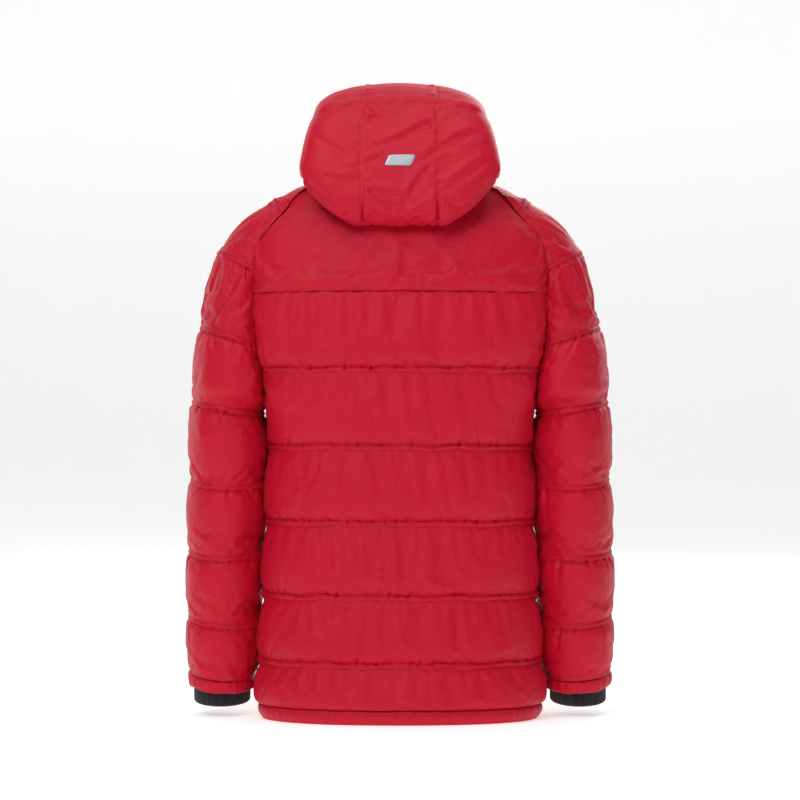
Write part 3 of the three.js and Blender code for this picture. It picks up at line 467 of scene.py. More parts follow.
def drape(name, start, away, pinned, cloth, keep=None):
    # blows a grid of cloth out between its pinned seams and returns where it comes to rest
    rows, columns = start.shape[:2]
    index = np.arange(rows * columns).reshape(rows, columns)
    cells = np.stack([index[:-1, :-1], index[:-1, 1:], index[1:, 1:], index[1:, :-1]], -1)
    cells = cells[keep] if keep is not None else cells.reshape(-1, 4)
    if np.sum(normalsOf(start) * away) < 0:
        cells = cells[:, ::-1]
    obj = newObject(name, meshFrom(name, start, cells))
    group = obj.vertex_groups.new(name="pinned")
    group.add(np.flatnonzero(pinned.ravel()).tolist(), 1.0, "REPLACE")
    sim = obj.modifiers.new("cloth", "CLOTH")
    s = sim.settings
    s.quality = cloth["quality"]
    s.mass = 0.3
    s.tension_stiffness = s.compression_stiffness = cloth["stiffness"]
    s.shear_stiffness = cloth["stiffness"] * 0.3
    s.bending_stiffness = cloth["bending"]
    s.tension_damping = s.compression_damping = s.shear_damping = 5
    s.air_damping = 2
    s.shrink_min = -cloth["spare"]
    s.vertex_group_mass = "pinned"
    s.use_pressure = True
    s.uniform_pressure_force = cloth["pressure"]
    s.use_pressure_volume = True
    s.target_volume = 0
    s.effector_weights.gravity = cloth["gravity"]
    scene = bpy.context.scene
    sim.point_cache.frame_start, sim.point_cache.frame_end = 1, cloth["frames"] + 1
    for f in range(1, cloth["frames"] + 1):
        scene.frame_set(f)
    ready = obj.evaluated_get(bpy.context.evaluated_depsgraph_get()).to_mesh()
    co = np.zeros(rows * columns * 3)
    ready.vertices.foreach_get("co", co)
    scene.frame_set(1)
    bpy.data.objects.remove(obj)
    move = co.reshape(start.shape) - start
    size = np.linalg.norm(move, axis=-1, keepdims=True)
    cap = cloth["cap"] * mm
    return start + move * np.minimum(1, cap / np.maximum(size, 1e-9))


# how the padding is quilted, and how the cloth between its seams is filled

quilting = {
    "spacing": 6.2, "strip": 4.2, "puff": 8.5, "droop": 0.45, "stripRise": 1.3, "gatherEvery": (7, 30),
    "gatherDepth": 2.7, "gatherLength": (7, 52), "lining": 3,
}
padding = {
    "quality": 5, "stiffness": 12, "bending": 0.6, "spare": 0.018, "pressure": 1.5, "gravity": 0.12,
    "frames": 18, "cap": 5,
}


def seamRows(seams, spacing, strip, single=()):
    # three rows to a seam with two lines of stitching, one to a single line, and even rows between
    rows, held = [], []
    for i, s in enumerate(seams):
        one = i in (0, len(seams) - 1) or s in single
        near = [s] if one else [s - strip, s, s + strip]
        if rows:
            count = max(4, round((near[0] - rows[-1]) / spacing))
            between = np.linspace(rows[-1], near[0], count + 1)[1:-1]
            rows.extend(between)
            held.extend([0] * len(between))
        rows.extend(near)
        held.extend([1] * len(near))
    return np.array(rows), np.array(held, float)


def channelShare(v, rows, held):
    # 0 on a seam, rising to 1 at the next one, measured up the sheet
    share = np.zeros_like(rows)
    marks = np.flatnonzero(held > 0)
    for a, b in zip(marks[:-1], marks[1:]):
        if b > a + 1:
            share[a:b] = (rows[a:b] - rows[a]) / (rows[b] - rows[a])
    return np.interp(v, rows, share)


def fullOf(share, droop):
    # a filled channel hangs: it turns in sharply at its lower seam and slopes up gently to the next
    low, high = 0.8 - droop * 0.6, 0.6 + droop * 0.7
    most = low / (low + high)
    return share ** low * (1 - share) ** high / (most ** low * (1 - most) ** high)


def gathers(grid, away, across, up, seams, seed, depth):
    # short creases run off each seam where the shell is caught in
    luck = np.random.default_rng(seed)
    x, z = across[0], up
    dent = np.zeros(grid.shape[:2])
    for s in seams:
        for side in (1, -1):
            at = luck.uniform(0, 12)
            while at < x[-1]:
                # the sagging padding above a seam puckers deepest
                strength = luck.uniform(0.3, 1) ** 1.4 * (2.3 if side > 0 else 0.75)
                length = mix(*quilting["gatherLength"], luck.uniform(0, 1) ** 2) * (1 if side > 0 else 0.6)
                length += 9 * (side > 0)
                width = luck.uniform(1.8, 3.6) * (1.25 if side > 0 else 0.75)
                lean = luck.normal(0, 0.4)
                d = (z - s) * side - quilting["strip"] * 0.6
                rows = np.flatnonzero((d > -2) & (d < length))
                if len(rows):
                    far = np.clip(d[rows] / length, 0, 1)[:, None]
                    line = (x[None, :] - at - lean * d[rows][:, None]) / (width * (0.7 + 0.9 * far))
                    pinch = np.exp(-line ** 2) - 0.45 * np.exp(-(line / 2.4) ** 2)
                    dent[rows] += strength * (1 - far) ** 1.5 * pinch
                at += luck.uniform(*quilting["gatherEvery"])
    return grid - away * (dent * depth * mm)[..., None]


def wandered(grid, seed):
    # no line of stitching is quite straight
    x, z = grid[..., 0] / mm, grid[..., 2] / mm
    calm = (1 - smooth(np.abs(x), 150, 190)) * smooth(np.abs(x), 8, 40)
    calm = calm * smooth(z, 25, 80) * (1 - smooth(z, 560, 630))
    drift = waves(x + 0.9 * z, seed, 70, 190) + 0.5 * waves(x - 1.7 * z, seed + 1, 30, 70)
    return grid + (drift * 1.5 * calm * mm)[..., None] * np.array([0, 0, 1])


def longFolds(grid, away, across, up, folds):
    # creases that run right across a channel: place along, place up, length, lean, width, depth
    for at, height, length, lean, width, depth in folds:
        d = (up - height)[:, None]
        line = (across[0][None, :] - at - lean * d - 4 * np.sin(d / 17)) / width
        fall = np.clip(1 - (2 * d / length) ** 2, 0, 1)
        pinch = np.exp(-line ** 2) - 0.5 * np.exp(-(line / 2.6) ** 2)
        grid = grid - away * (depth * mm * fall * pinch)[..., None]
    return grid


# the finishes, and the node groups that they share


def node(tree, kind, place=(0, 0), **values):
    made = tree.nodes.new("ShaderNode" + kind)
    made.location = place
    for key, value in values.items():
        if hasattr(made, key):
            setattr(made, key, value)
        else:
            made.inputs[key.replace("_", " ")].default_value = value
    return made


def maths(tree, operation, a, b=0.0):
    made = node(tree, "Math", operation=operation)
    for socket, value in zip(made.inputs, (a, b)):
        if isinstance(value, (int, float)):
            socket.default_value = value
        else:
            tree.links.new(value, socket)
    return made.outputs[0]


def newGroup(name, inputs, outputs):
    tree = bpy.data.node_groups.new(name, "ShaderNodeTree")
    for label, kind, value in inputs:
        socket = tree.interface.new_socket(label, in_out="INPUT", socket_type="NodeSocket" + kind)
        socket.default_value = value
    for label, kind in outputs:
        tree.interface.new_socket(label, in_out="OUTPUT", socket_type="NodeSocket" + kind)
    given, out = tree.nodes.new("NodeGroupInput"), tree.nodes.new("NodeGroupOutput")
    given.location, out.location = (-1100, 0), (700, 0)
    return tree, given.outputs, out.inputs


def threadGroup():
    # plain weave: warp and weft of a given pitch, in metres along the cloth's own map
    tree, given, out = newGroup("threads", [("Pitch", "Float", 0.0006), ("Slub", "Float", 0.3)],
                                [("Height", "Float"), ("Tone", "Float")])
    cloth = node(tree, "UVMap", (-900, 200), uv_map="cloth")
    split = node(tree, "SeparateXYZ", (-700, 200))
    tree.links.new(cloth.outputs[0], split.inputs[0])
    turns = []
    for axis in (0, 1):
        along = maths(tree, "DIVIDE", split.outputs[axis], given["Pitch"])
        turns.append(maths(tree, "SINE", maths(tree, "MULTIPLY", along, 2 * math.pi)))
    over = maths(tree, "MULTIPLY", turns[0], turns[1])
    tree.links.new(maths(tree, "ADD", maths(tree, "MULTIPLY", over, 0.5), 0.5), out["Height"])
    slub = node(tree, "TexNoise", (-500, -200), Scale=900.0, Detail=2.0)
    stretch = node(tree, "Mapping", (-700, -200))
    stretch.inputs["Scale"].default_value = (0.06, 1.0, 1.0)
    tree.links.new(cloth.outputs[0], stretch.inputs[0])
    tree.links.new(stretch.outputs[0], slub.inputs["Vector"])
    uneven = maths(tree, "MULTIPLY", maths(tree, "SUBTRACT", slub.outputs[0], 0.5), given["Slub"])
    tree.links.new(maths(tree, "ADD", uneven, 0.5), out["Tone"])
    return tree


def crinkleGroup():
    # the fine crumpling of a light shell over wadding, with soft patches of tone
    tree, given, out = newGroup("crinkle", [("Size", "Float", 45.0), ("Patch", "Float", 7.0)],
                                [("Height", "Float"), ("Patches", "Float")])
    place = node(tree, "TexCoord", (-900, 200))
    noise = node(tree, "TexNoise", (-500, 200), Detail=3.0, Roughness=0.55, Distortion=0.6)
    tree.links.new(place.outputs["Object"], noise.inputs["Vector"])
    tree.links.new(given["Size"], noise.inputs["Scale"])
    ridge = maths(tree, "ABSOLUTE", maths(tree, "SUBTRACT", noise.outputs[0], 0.5))
    tree.links.new(maths(tree, "POWER", maths(tree, "MULTIPLY", ridge, 2.0), 0.8), out["Height"])
    patch = node(tree, "TexNoise", (-500, -100), Detail=2.0)
    tree.links.new(place.outputs["Object"], patch.inputs["Vector"])
    tree.links.new(given["Patch"], patch.inputs["Scale"])
    tree.links.new(patch.outputs[0], out["Patches"])
    return tree


threads, crinkle = threadGroup(), crinkleGroup()


def newMaterial(name, look):
    # look: the material's constants; the varying parts are wired below
    m = bpy.data.materials.new(name)
    m.use_nodes = True
    tree = m.node_tree
    shader = tree.nodes["Principled BSDF"]
    for key, value in look.items():
        shader.inputs[key].default_value = value
    return m, tree, shader


def place(tree, group, **values):
    made = node(tree, "Group")
    made.node_tree = group
    for key, value in values.items():
        made.inputs[key].default_value = value
    return made


def spread(tree, factor, low, high):
    # a value between low and high
    made = node(tree, "MapRange")
    made.inputs["To Min"].default_value = low
    made.inputs["To Max"].default_value = high
    tree.links.new(factor, made.inputs["Value"])
    return made.outputs[0]


def toned(tree, factor, dark, light):
    made = node(tree, "MixRGB")
    made.inputs["Color1"].default_value = (*dark, 1)
    made.inputs["Color2"].default_value = (*light, 1)
    tree.links.new(factor, made.inputs["Fac"])
    return made.outputs[0]


def bumps(tree, shader, layers):
    # layers of (height socket, depth in metres), one over another
    last = None
    for height, depth in layers:
        bump = node(tree, "Bump", Distance=depth)
        tree.links.new(height, bump.inputs["Height"])
        if last:
            tree.links.new(last, bump.inputs["Normal"])
        last = bump.outputs[0]
    tree.links.new(last, shader.inputs["Normal"])


def wovenMaterial(name, dark, light, look, pitch, rough, weaveDepth, crinkleDepth, size=45.0):
    m, tree, shader = newMaterial(name, look)
    weave = place(tree, threads, Pitch=pitch)
    crease = place(tree, crinkle, Size=size)
    tone = maths(tree, "ADD", maths(tree, "MULTIPLY", weave.outputs["Tone"], 0.5),
                 maths(tree, "MULTIPLY", crease.outputs["Patches"], 0.5))
    tree.links.new(toned(tree, tone, dark, light), shader.inputs["Base Color"])
    tree.links.new(spread(tree, crease.outputs["Patches"], *rough), shader.inputs["Roughness"])
    bumps(tree, shader, [(crease.outputs["Height"], crinkleDepth), (weave.outputs["Height"], weaveDepth)])
    return m


red = wovenMaterial("satin_shell", (0.50, 0.002, 0.020), (0.62, 0.006, 0.034),
                    {"Sheen Weight": 0.05, "Sheen Roughness": 0.4, "Sheen Tint": (1, 0.3, 0.35, 1),
                     "Specular IOR Level": 0.2}, 0.0007, (0.40, 0.52), 0.00006, 0.0009)
liningCloth = wovenMaterial("lining_taffeta", (0.012, 0.013, 0.016), (0.028, 0.03, 0.036),
                            {"Specular IOR Level": 0.4}, 0.0008, (0.45, 0.6), 0.00006, 0.0008)
tapeCloth = wovenMaterial("woven_tape", (0.008, 0.008, 0.010), (0.02, 0.02, 0.024),
                          {"Specular IOR Level": 0.3}, 0.0012, (0.7, 0.85), 0.0002, 0.0002)
thread = wovenMaterial("sewing_thread", (0.34, 0.002, 0.012), (0.46, 0.006, 0.024),
                       {"Specular IOR Level": 0.4}, 0.0006, (0.4, 0.55), 0.00005, 0.0001)


knitting = {"column": 0.0016, "row": 0.0013, "slant": 0.0006, "dark": (0.0015, 0.0018, 0.003),
            "light": (0.011, 0.012, 0.018)}


def knitMaterial():
    # columns of little v-shaped stitches, in metres along the cloth's own map
    m, tree, shader = newMaterial("rib_knit", {"Sheen Weight": 0.35, "Sheen Roughness": 0.5,
                                               "Specular IOR Level": 0.15})
    cloth = node(tree, "UVMap", uv_map="cloth")
    split = node(tree, "SeparateXYZ")
    tree.links.new(cloth.outputs[0], split.inputs[0])
    turned = maths(tree, "MULTIPLY", split.outputs[0], math.pi / knitting["column"])
    column = maths(tree, "ABSOLUTE", maths(tree, "SINE", turned))
    slant = maths(tree, "ADD", split.outputs[1], maths(tree, "MULTIPLY", column, knitting["slant"]))
    rowTurned = maths(tree, "MULTIPLY", slant, math.pi / knitting["row"])
    row = maths(tree, "ABSOLUTE", maths(tree, "SINE", rowTurned))
    stitch = maths(tree, "MULTIPLY", column, row)
    fuzz = place(tree, crinkle, Size=260.0, Patch=18.0)
    tone = maths(tree, "MULTIPLY", stitch, fuzz.outputs["Patches"])
    tree.links.new(toned(tree, tone, knitting["dark"], knitting["light"]), shader.inputs["Base Color"])
    tree.links.new(spread(tree, fuzz.outputs["Patches"], 0.8, 0.95), shader.inputs["Roughness"])
    bumps(tree, shader, [(fuzz.outputs["Height"], 0.0002), (stitch, 0.0005)])
    return m


def mouldedMaterial(name, dark, light, look, rough, size):
    # moulded or enamelled: faint clouding, and fine marks that vary the gloss
    m, tree, shader = newMaterial(name, look)
    marks = place(tree, crinkle, Size=size, Patch=60.0)
    tree.links.new(toned(tree, marks.outputs["Patches"], dark, light), shader.inputs["Base Color"])
    tree.links.new(spread(tree, marks.outputs["Height"], *rough), shader.inputs["Roughness"])
    bumps(tree, shader, [(marks.outputs["Height"], 0.00004)])
    return m


knit = knitMaterial()
zipPlastic = mouldedMaterial("zip_plastic", (0.008, 0.008, 0.009), (0.018, 0.018, 0.02), {},
                             (0.32, 0.5), 400.0)
zipMetal = mouldedMaterial("zip_enamel", (0.02, 0.02, 0.022), (0.05, 0.05, 0.055), {"Metallic": 0.8},
                           (0.22, 0.4), 300.0)


def filmMaterial():
    # reflective film: tiny glass cells under a clear coat
    m, tree, shader = newMaterial("reflective_film", {"Metallic": 0.35, "Coat Weight": 0.4,
                                                      "Coat Roughness": 0.15})
    cells = node(tree, "TexVoronoi", Scale=1400.0)
    where = node(tree, "TexCoord")
    tree.links.new(where.outputs["Object"], cells.inputs["Vector"])
    tree.links.new(toned(tree, cells.outputs["Distance"], (0.46, 0.48, 0.52), (0.30, 0.32, 0.36)),
                   shader.inputs["Base Color"])
    marks = place(tree, crinkle, Size=120.0, Patch=40.0)
    tree.links.new(spread(tree, marks.outputs["Patches"], 0.25, 0.45), shader.inputs["Roughness"])
    bumps(tree, shader, [(cells.outputs["Distance"], 0.00005)])
    return m


film = filmMaterial()
print("materials made")

# stitches

stitching = {"length": 3.4, "gap": 1.3, "thread": 0.32, "proud": 0.25}


def stitchLine(line, away, every=None):
    # a run of stitches along a line of points, each sinking into the cloth at both ends
    every = every or stitching["length"] + stitching["gap"]
    steps = np.linalg.norm(np.diff(line, axis=0), axis=1)
    along = np.concatenate([[0], np.cumsum(steps)]) / mm
    made = []
    for first in np.arange(0.6, along[-1] - stitching["length"], every):
        t = first + stitching["length"] * np.array([0, 0.18, 0.5, 0.82, 1])
        lift = stitching["proud"] * np.array([-1.6, 0.4, 1, 0.4, -1.6]) * mm
        q = np.stack([np.interp(t, along, line[:, k]) for k in range(3)], -1)
        n = np.stack([np.interp(t, along, away[:, k]) for k in range(3)], -1)
        made.append(q + n * lift[:, None])
    return made


# the quilted back, and what it shares with the other quilted panels


def evenTurns(surface, count, z):
    # column values spaced evenly along the cloth at one height
    u = np.linspace(0, 1, 400)
    line = surface(u, np.full_like(u, z))
    along = np.concatenate([[0], np.cumsum(np.linalg.norm(np.diff(line, axis=0), axis=1))])
    return np.interp(np.linspace(0, along[-1], count), along, u)


def quilt(name, surface, columns, rows, held, edge, settings, seed, centre, edgeWay=None, sideRise=None):
    # returns the finished outer grid, its inner grid, its normals, and distance across and height up it
    u, v = np.meshgrid(columns, rows)
    base = toFrame(surface(u, v))
    away = outwards(base, centre)
    if edgeWay is not None:
        away = edgeWay(away, u, v)
    share = channelShare(v, rows, held)
    full, pinnedEdge = edge(u, v)
    strip = quilting["stripRise"] * mixRows(held)[:, None] * mix(0.2, 1, full)
    puffed = quilting["puff"] * fullOf(share, quilting["droop"]) * full
    start = base + away * (puffed + strip)[..., None] * mm
    across, _ = clothMap(base)
    shiver = slantedNoise(base, seed, (16, 70)) * 1.5 * mm * (share > 0) * smooth(full, 0, 0.4)
    start = start + away * shiver[..., None]
    if sideRise is not None:
        start = start + away * (sideRise(u, v) * (1 - 0.62 * (share > 0)))[..., None] * mm
    pinned = (held[:, None] > 0) | pinnedEdge
    done = drape(name, start, away, pinned, settings)
    outer, inner = finer(done), finer(base) - finer(away) * quilting["lining"] * mm
    normals = outwards(outer, centre)
    up = finerList(rows)
    # each line of stitches sinks in, and the band between two of them is ribbed
    for s in rows[held > 0]:
        sunk = np.exp(-((up - s) / 0.8) ** 2) * (1.1 if s in rows[mixRows(held) == 0] else 0)
        outer = outer - normals * sunk[:, None, None] * mm
    ribs = (np.arange(outer.shape[1]) % 2 - 0.5) * 0.7
    for s in rows[mixRows(held) > 0]:
        band = np.clip(1 - np.abs(up - s) / 3.4, 0, 1)
        outer = outer + normals * (band[:, None] * ribs[None, :])[..., None] * mm
    return outer, inner, normals, finer(across[..., None])[..., 0] / mm, up


def mixRows(held):
    # 1 on the middle row of a seam with two lines of stitching
    marks = np.zeros_like(held)
    marks[1:-1] = held[1:-1] * held[:-2] * held[2:]
    return marks


def sideWay(hand):
    # at a side seam both panels face straight out sideways
    def turned(away, u, v):
        away = away.copy()
        low = (v[:, 0] < 472)[:, None]
        away[:, 0] = np.where(low, [hand, 0, 0], away[:, 0])
        if hand == 0:
            away[:, 0] = np.where(low, [1.0, 0, 0], away[:, 0])
            away[:, -1] = np.where(low, [-1.0, 0, 0], away[:, -1])
        return away
    return turned


def sideFull(near, v):
    # how much of the padding there is near a side seam, and near the armhole above it
    low = 1 - smooth(v, 425, 470)
    return mix(smooth(near, 0.012, 0.10), mix(1.1, 1, smooth(near, 0, 0.09)), low)


def sideRise(near, v):
    # beside the arms the seams too are pressed out
    return 8 * (1 - smooth(near, 0, 0.06)) * smooth(v, 30, 80) * (1 - smooth(v, 415, 436))


def backEdge(u, v):
    near = np.minimum(u, 1 - u)
    return sideFull(near, v), near < 1e-6


def frontEdge(u, v):
    return sideFull(u * 0.5, v) * smooth(0.955 - u, 0, 0.1), (u < 1e-6) | (u > 0.955)


def seamStitches(outer, normals, rows, seams, strip, proudColumns=slice(1, -1)):
    # two lines of stitches along each doubled seam
    lines = []
    for s in seams:
        for line in (s - strip, s + strip):
            i = int(np.argmin(np.abs(rows - line)))
            lines += stitchLine(outer[i, proudColumns], normals[i, proudColumns])
    return lines


backFolds = [(118, 350, 96, 0.28, 6, 2.6), (262, 240, 90, -0.2, 7, 2.2), (196, 458, 100, 0.12, 7, 2.4),
             (330, 355, 96, -0.25, 6, 2.2), (390, 470, 90, 0.2, 6, 1.8), (150, 136, 80, 0.3, 6, 2.0),
             (342, 140, 84, -0.24, 7, 2.2), (240, 575, 92, 0.1, 9, 2.2), (96, 580, 80, -0.15, 8, 1.8)]

seams = body["seams"]
doubled = seams[1:-1]
spineMiddle = [0, 0, 0.35]
rows, held = seamRows(seams, quilting["spacing"], quilting["strip"])
backColumns = evenTurns(lambda u, z: bodySurface(1, 1, u, z), 84, 300)
outer, inner, normals, across, up = quilt(
    "back", lambda u, v: bodySurface(1, 1, u, v), backColumns, rows, held, backEdge, padding, 3,
    spineMiddle, sideWay(0), lambda u, v: sideRise(np.minimum(u, 1 - u), v))
outer = gathers(outer, normals, across, up, doubled, 21, quilting["gatherDepth"])
outer = gathers(outer, normals, across, up, [636], 22, quilting["gatherDepth"] * 0.7)
outer = longFolds(outer, normals, across, up, backFolds)
outer, inner = wandered(outer, 25), wandered(inner, 25)
backQuilt = shell("back_quilted", outer, inner, [red])
backStitches = seamStitches(outer, normals, up, doubled, quilting["strip"])
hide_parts("back_panel")
print("back panel quilted")

# the two quilted fronts, each with its hand pocket

pocket = {
    "middle": 286, "turn": 0.55, "slant": 0.035, "length": 150, "slot": 11, "weltWide": 24, "weltOver": 26,
    "hole": 17, "toothPitch": 2.4, "tapeDeep": 4.3,
}


def pocketFrame(hand):
    # middle of the pocket, and its across, inwards and along directions, all in the frame
    reach = pocket["length"] / 2

    def at(dz, du=0.0):
        u = np.array(pocket["turn"] + pocket["slant"] * dz / reach + du)
        return toFrame(bodySurface(-1, hand, u, np.array(float(pocket["middle"] + dz))))
    along = at(reach) - at(-reach)
    along /= np.linalg.norm(along)
    across = at(0, 0.03) - at(0, -0.03)
    inwards = np.cross(across, along)
    inwards /= np.linalg.norm(inwards)
    if inwards[1] < 0:
        inwards = -inwards
    return at(0), np.cross(inwards, along), inwards, along


def inRacetrack(grid, origin, x, z, width, length):
    flat = grid - origin
    px, pz = np.abs(flat @ x) / mm, np.abs(flat @ z) / mm
    r = width / 2
    return np.hypot(px, np.maximum(0, pz - (length / 2 - r))) < r


frontStitches = []
frontColumnCount = 40
for hand, side in ((1, "left"), (-1, "right")):
    surface = lambda u, v, hand=hand: bodySurface(-1, hand, u, v)
    columns = evenTurns(surface, frontColumnCount, 300)
    outer, inner, normals, across, up = quilt(
        "front_" + side, surface, columns, rows, held, frontEdge, padding, 5 + hand, spineMiddle,
        sideWay(hand), lambda u, v: sideRise(u * 0.5, v))
    outer = gathers(outer, normals, across, up, doubled, 31 + hand, quilting["gatherDepth"])
    outer, inner = wandered(outer, 27 + hand), wandered(inner, 27 + hand)
    origin, x, inwards, z = pocketFrame(hand)
    # the padding dies away into the pocket's welt
    flat = outer - origin
    px, pz = np.abs(flat @ x) / mm, np.abs(flat @ z) / mm
    straightHalf = (pocket["length"] + pocket["weltOver"] - pocket["weltWide"]) / 2
    reach = np.hypot(px, np.maximum(0, pz - straightHalf))
    calm = 1 - smooth(reach, 13, 34)
    surfaceNow = finer(toFrame(surface(*np.meshgrid(columns, rows))))
    outer = mix(outer, surfaceNow + normals * 1.2 * mm, calm[..., None])
    cut = inRacetrack(outer, origin, x, z, pocket["hole"], pocket["length"] + 10)
    keep = ~(cut[:-1, :-1] | cut[1:, :-1] | cut[:-1, 1:] | cut[1:, 1:])
    piece = shell("front_quilted_" + side, outer, inner, [red], keep)
    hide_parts("front_panel_" + side)
    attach(piece, "torso")
    for line in seamStitches(outer, normals, up, doubled, quilting["strip"]):
        weltLength = pocket["length"] + pocket["weltOver"]
        clear = ~inRacetrack(line, origin, x, z, pocket["weltWide"] + 2, weltLength + 2)
        if clear.all():
            frontStitches.append(line)
    # one line of stitches beside the zip
    j = int(np.argmin(np.abs(finerList(columns) - 0.955)))
    frontStitches += stitchLine(outer[2:-2, j], normals[2:-2, j])

    # the welt: a soft lip round the pocket's mouth
    turn = np.linspace(0, 2 * math.pi, 97)[:-1]
    section = np.linspace(0, 2 * math.pi, 17)[:-1]
    lip = {"half": (pocket["weltWide"] - pocket["slot"]) / 4, "high": 3.2, "low": 2.2}
    radius = pocket["slot"] / 2 + lip["half"]
    straight = (pocket["length"] - pocket["slot"]) / 2
    ringPoints = []
    for t in turn:
        cx, cz = radius * math.cos(t), radius * math.sin(t) + straight * np.clip(math.sin(t) * 6, -1, 1)
        outX, outZ = math.cos(t), math.sin(t)
        for k in section:
            off = lip["half"] * math.cos(k) * (1 + 0.05 * math.sin(9 * t))
            deep = -lip["high"] * max(0, math.sin(k)) + lip["low"] * max(0, -math.sin(k))
            spot = x * (cx + outX * off) + z * (cz + outZ * off) + inwards * deep
            ringPoints.append(origin + spot * mm)
    ringPoints = np.array(ringPoints).reshape(len(turn), len(section), 3)
    closedRing = np.concatenate([ringPoints, ringPoints[:1]])
    closedRing = np.concatenate([closedRing, closedRing[:, :1]], axis=1)
    count, ring = len(turn), len(section)
    faces = [(i * ring + k, i * ring + (k + 1) % ring, (i + 1) % count * ring + (k + 1) % ring,
              (i + 1) % count * ring + k) for i in range(count) for k in range(ring)]
    mesh = meshFrom("pocket_lip_" + side, ringPoints, np.array(faces))
    u, v = clothMap(closedRing)
    addMap(mesh, v[:-1, :-1].ravel(), u[:-1, :-1].ravel())
    welt = newObject("pocket_lip_" + side, mesh, [red])
    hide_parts("pocket_welt_" + side)
    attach(welt, "torso")
print("fronts and pockets made")

# the plain yokes over the shoulders

yokeCloth = dict(padding, spare=0.02, pressure=1.2, cap=4)
yokeFull = 0.34


def plainEdge(full, *sides):
    # pinned along the named edges of the sheet, with the padding dying away there
    def edge(u, v):
        reach = np.ones_like(u)
        pinned = np.zeros(u.shape, bool)
        for side in sides:
            near = u - u.min() if side == "start" else u.max() - u
            reach = reach * smooth(near, 0, 0.08)
            pinned |= near < 1e-6
        return full * reach, pinned
    return edge


yokeRows, yokeHeld = seamRows([636.15, 811], quilting["spacing"], quilting["strip"])
outer, inner, normals, across, up = quilt(
    "yoke", lambda u, v: bodySurface(1, 1, u, v), backColumns, yokeRows, yokeHeld,
    plainEdge(yokeFull, "start", "end"), yokeCloth, 41, spineMiddle)
outer = gathers(outer, normals, across, up, [636.15], 42, quilting["gatherDepth"] * 0.5)
softFolds = [(120, 700, 120, 0.5, 13, 2.4), (400, 700, 120, -0.5, 13, 2.4), (92, 690, 90, 0.9, 8, 1.6),
             (430, 694, 90, -0.9, 8, 1.6), (255, 668, 70, 0.1, 16, 1.5)]
outer = longFolds(outer, normals, across, up, softFolds)
backYoke = shell("back_yoke_shell", outer, inner, [red])
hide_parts("back_yoke")
for hand, side in ((1, "left"), (-1, "right")):
    surface = lambda u, v, hand=hand: bodySurface(-1, hand, u, v)
    columns = evenTurns(surface, frontColumnCount, 650)
    outer, inner, normals, across, up = quilt(
        "front_yoke", surface, columns, yokeRows, yokeHeld, plainEdge(yokeFull, "start", "end"),
        yokeCloth, 45 + hand, spineMiddle)
    outer = gathers(outer, normals, across, up, [636.15], 47 + hand, quilting["gatherDepth"] * 0.5)
    piece = shell("front_yoke_shell_" + side, outer, inner, [red])
    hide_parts("front_yoke_" + side)
    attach(piece, "torso")
    j = int(np.argmin(np.abs(finerList(columns) - 0.955)))
    frontStitches += stitchLine(outer[2:-2, j], normals[2:-2, j])
for piece, fill in ((backQuilt, 0.75), (backYoke, 0.4)):
    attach(piece, "torso")
print("yokes made")

# the raglan sleeves, in one piece from the neck to the cuff

sleeve = {"seams": [0, 1, 2, 3, 4, 5, 6, 7, 8], "columns": 74, "shoulderFull": 0.3, "underFull": 0.75,
          "ridgeFull": 0.5, "wristFull": 0.8, "buttWall": 7}


levels = np.linspace(0, 9, 901)
ridge = np.stack(armTable(levels)[:3], -1)
ridgeWay = np.concatenate([[0], np.cumsum(np.linalg.norm(np.diff(ridge, axis=0), axis=1))])


def levelAt(v):
    return np.interp(v, ridgeWay, levels)


armSeams = [float(np.interp(s, levels, ridgeWay)) for s in sleeve["seams"]]
armRows, armHeld = seamRows(armSeams, quilting["spacing"], quilting["strip"])


def armEdge(a, v):
    t = levelAt(v)
    near = 1 - np.abs(a)
    onBody = smooth(near, 0.02, 0.16)
    free = mix(sleeve["underFull"], 1, smooth(near, 0.12, 0.5))
    full = mix(onBody, free, smooth(t, 3.7, 4.1)) * mix(1, sleeve["wristFull"], smooth(t, 4, 8))
    full = full * mix(sleeve["ridgeFull"], 1, smooth(np.abs(a), 0.05, 0.4))
    full = full * mix(sleeve["shoulderFull"], 1, smooth(t, 1.2, 3.4))
    return full, near < 1e-6


def armRise(a, v):
    t = levelAt(v)
    return 12 * (1 - smooth(1 - np.abs(a), 0, 0.34)) * smooth(t, 4.2, 4.8) * (1 - smooth(t, 7.4, 8))


def armWay(hand):
    def turned(away, a, v):
        away = away.copy()
        free = (levelAt(v[:, 0]) > 3.9)[:, None]
        for j in (0, -1):
            away[:, j] = np.where(free, [-hand, 0, 0], away[:, j])
        return away
    return turned


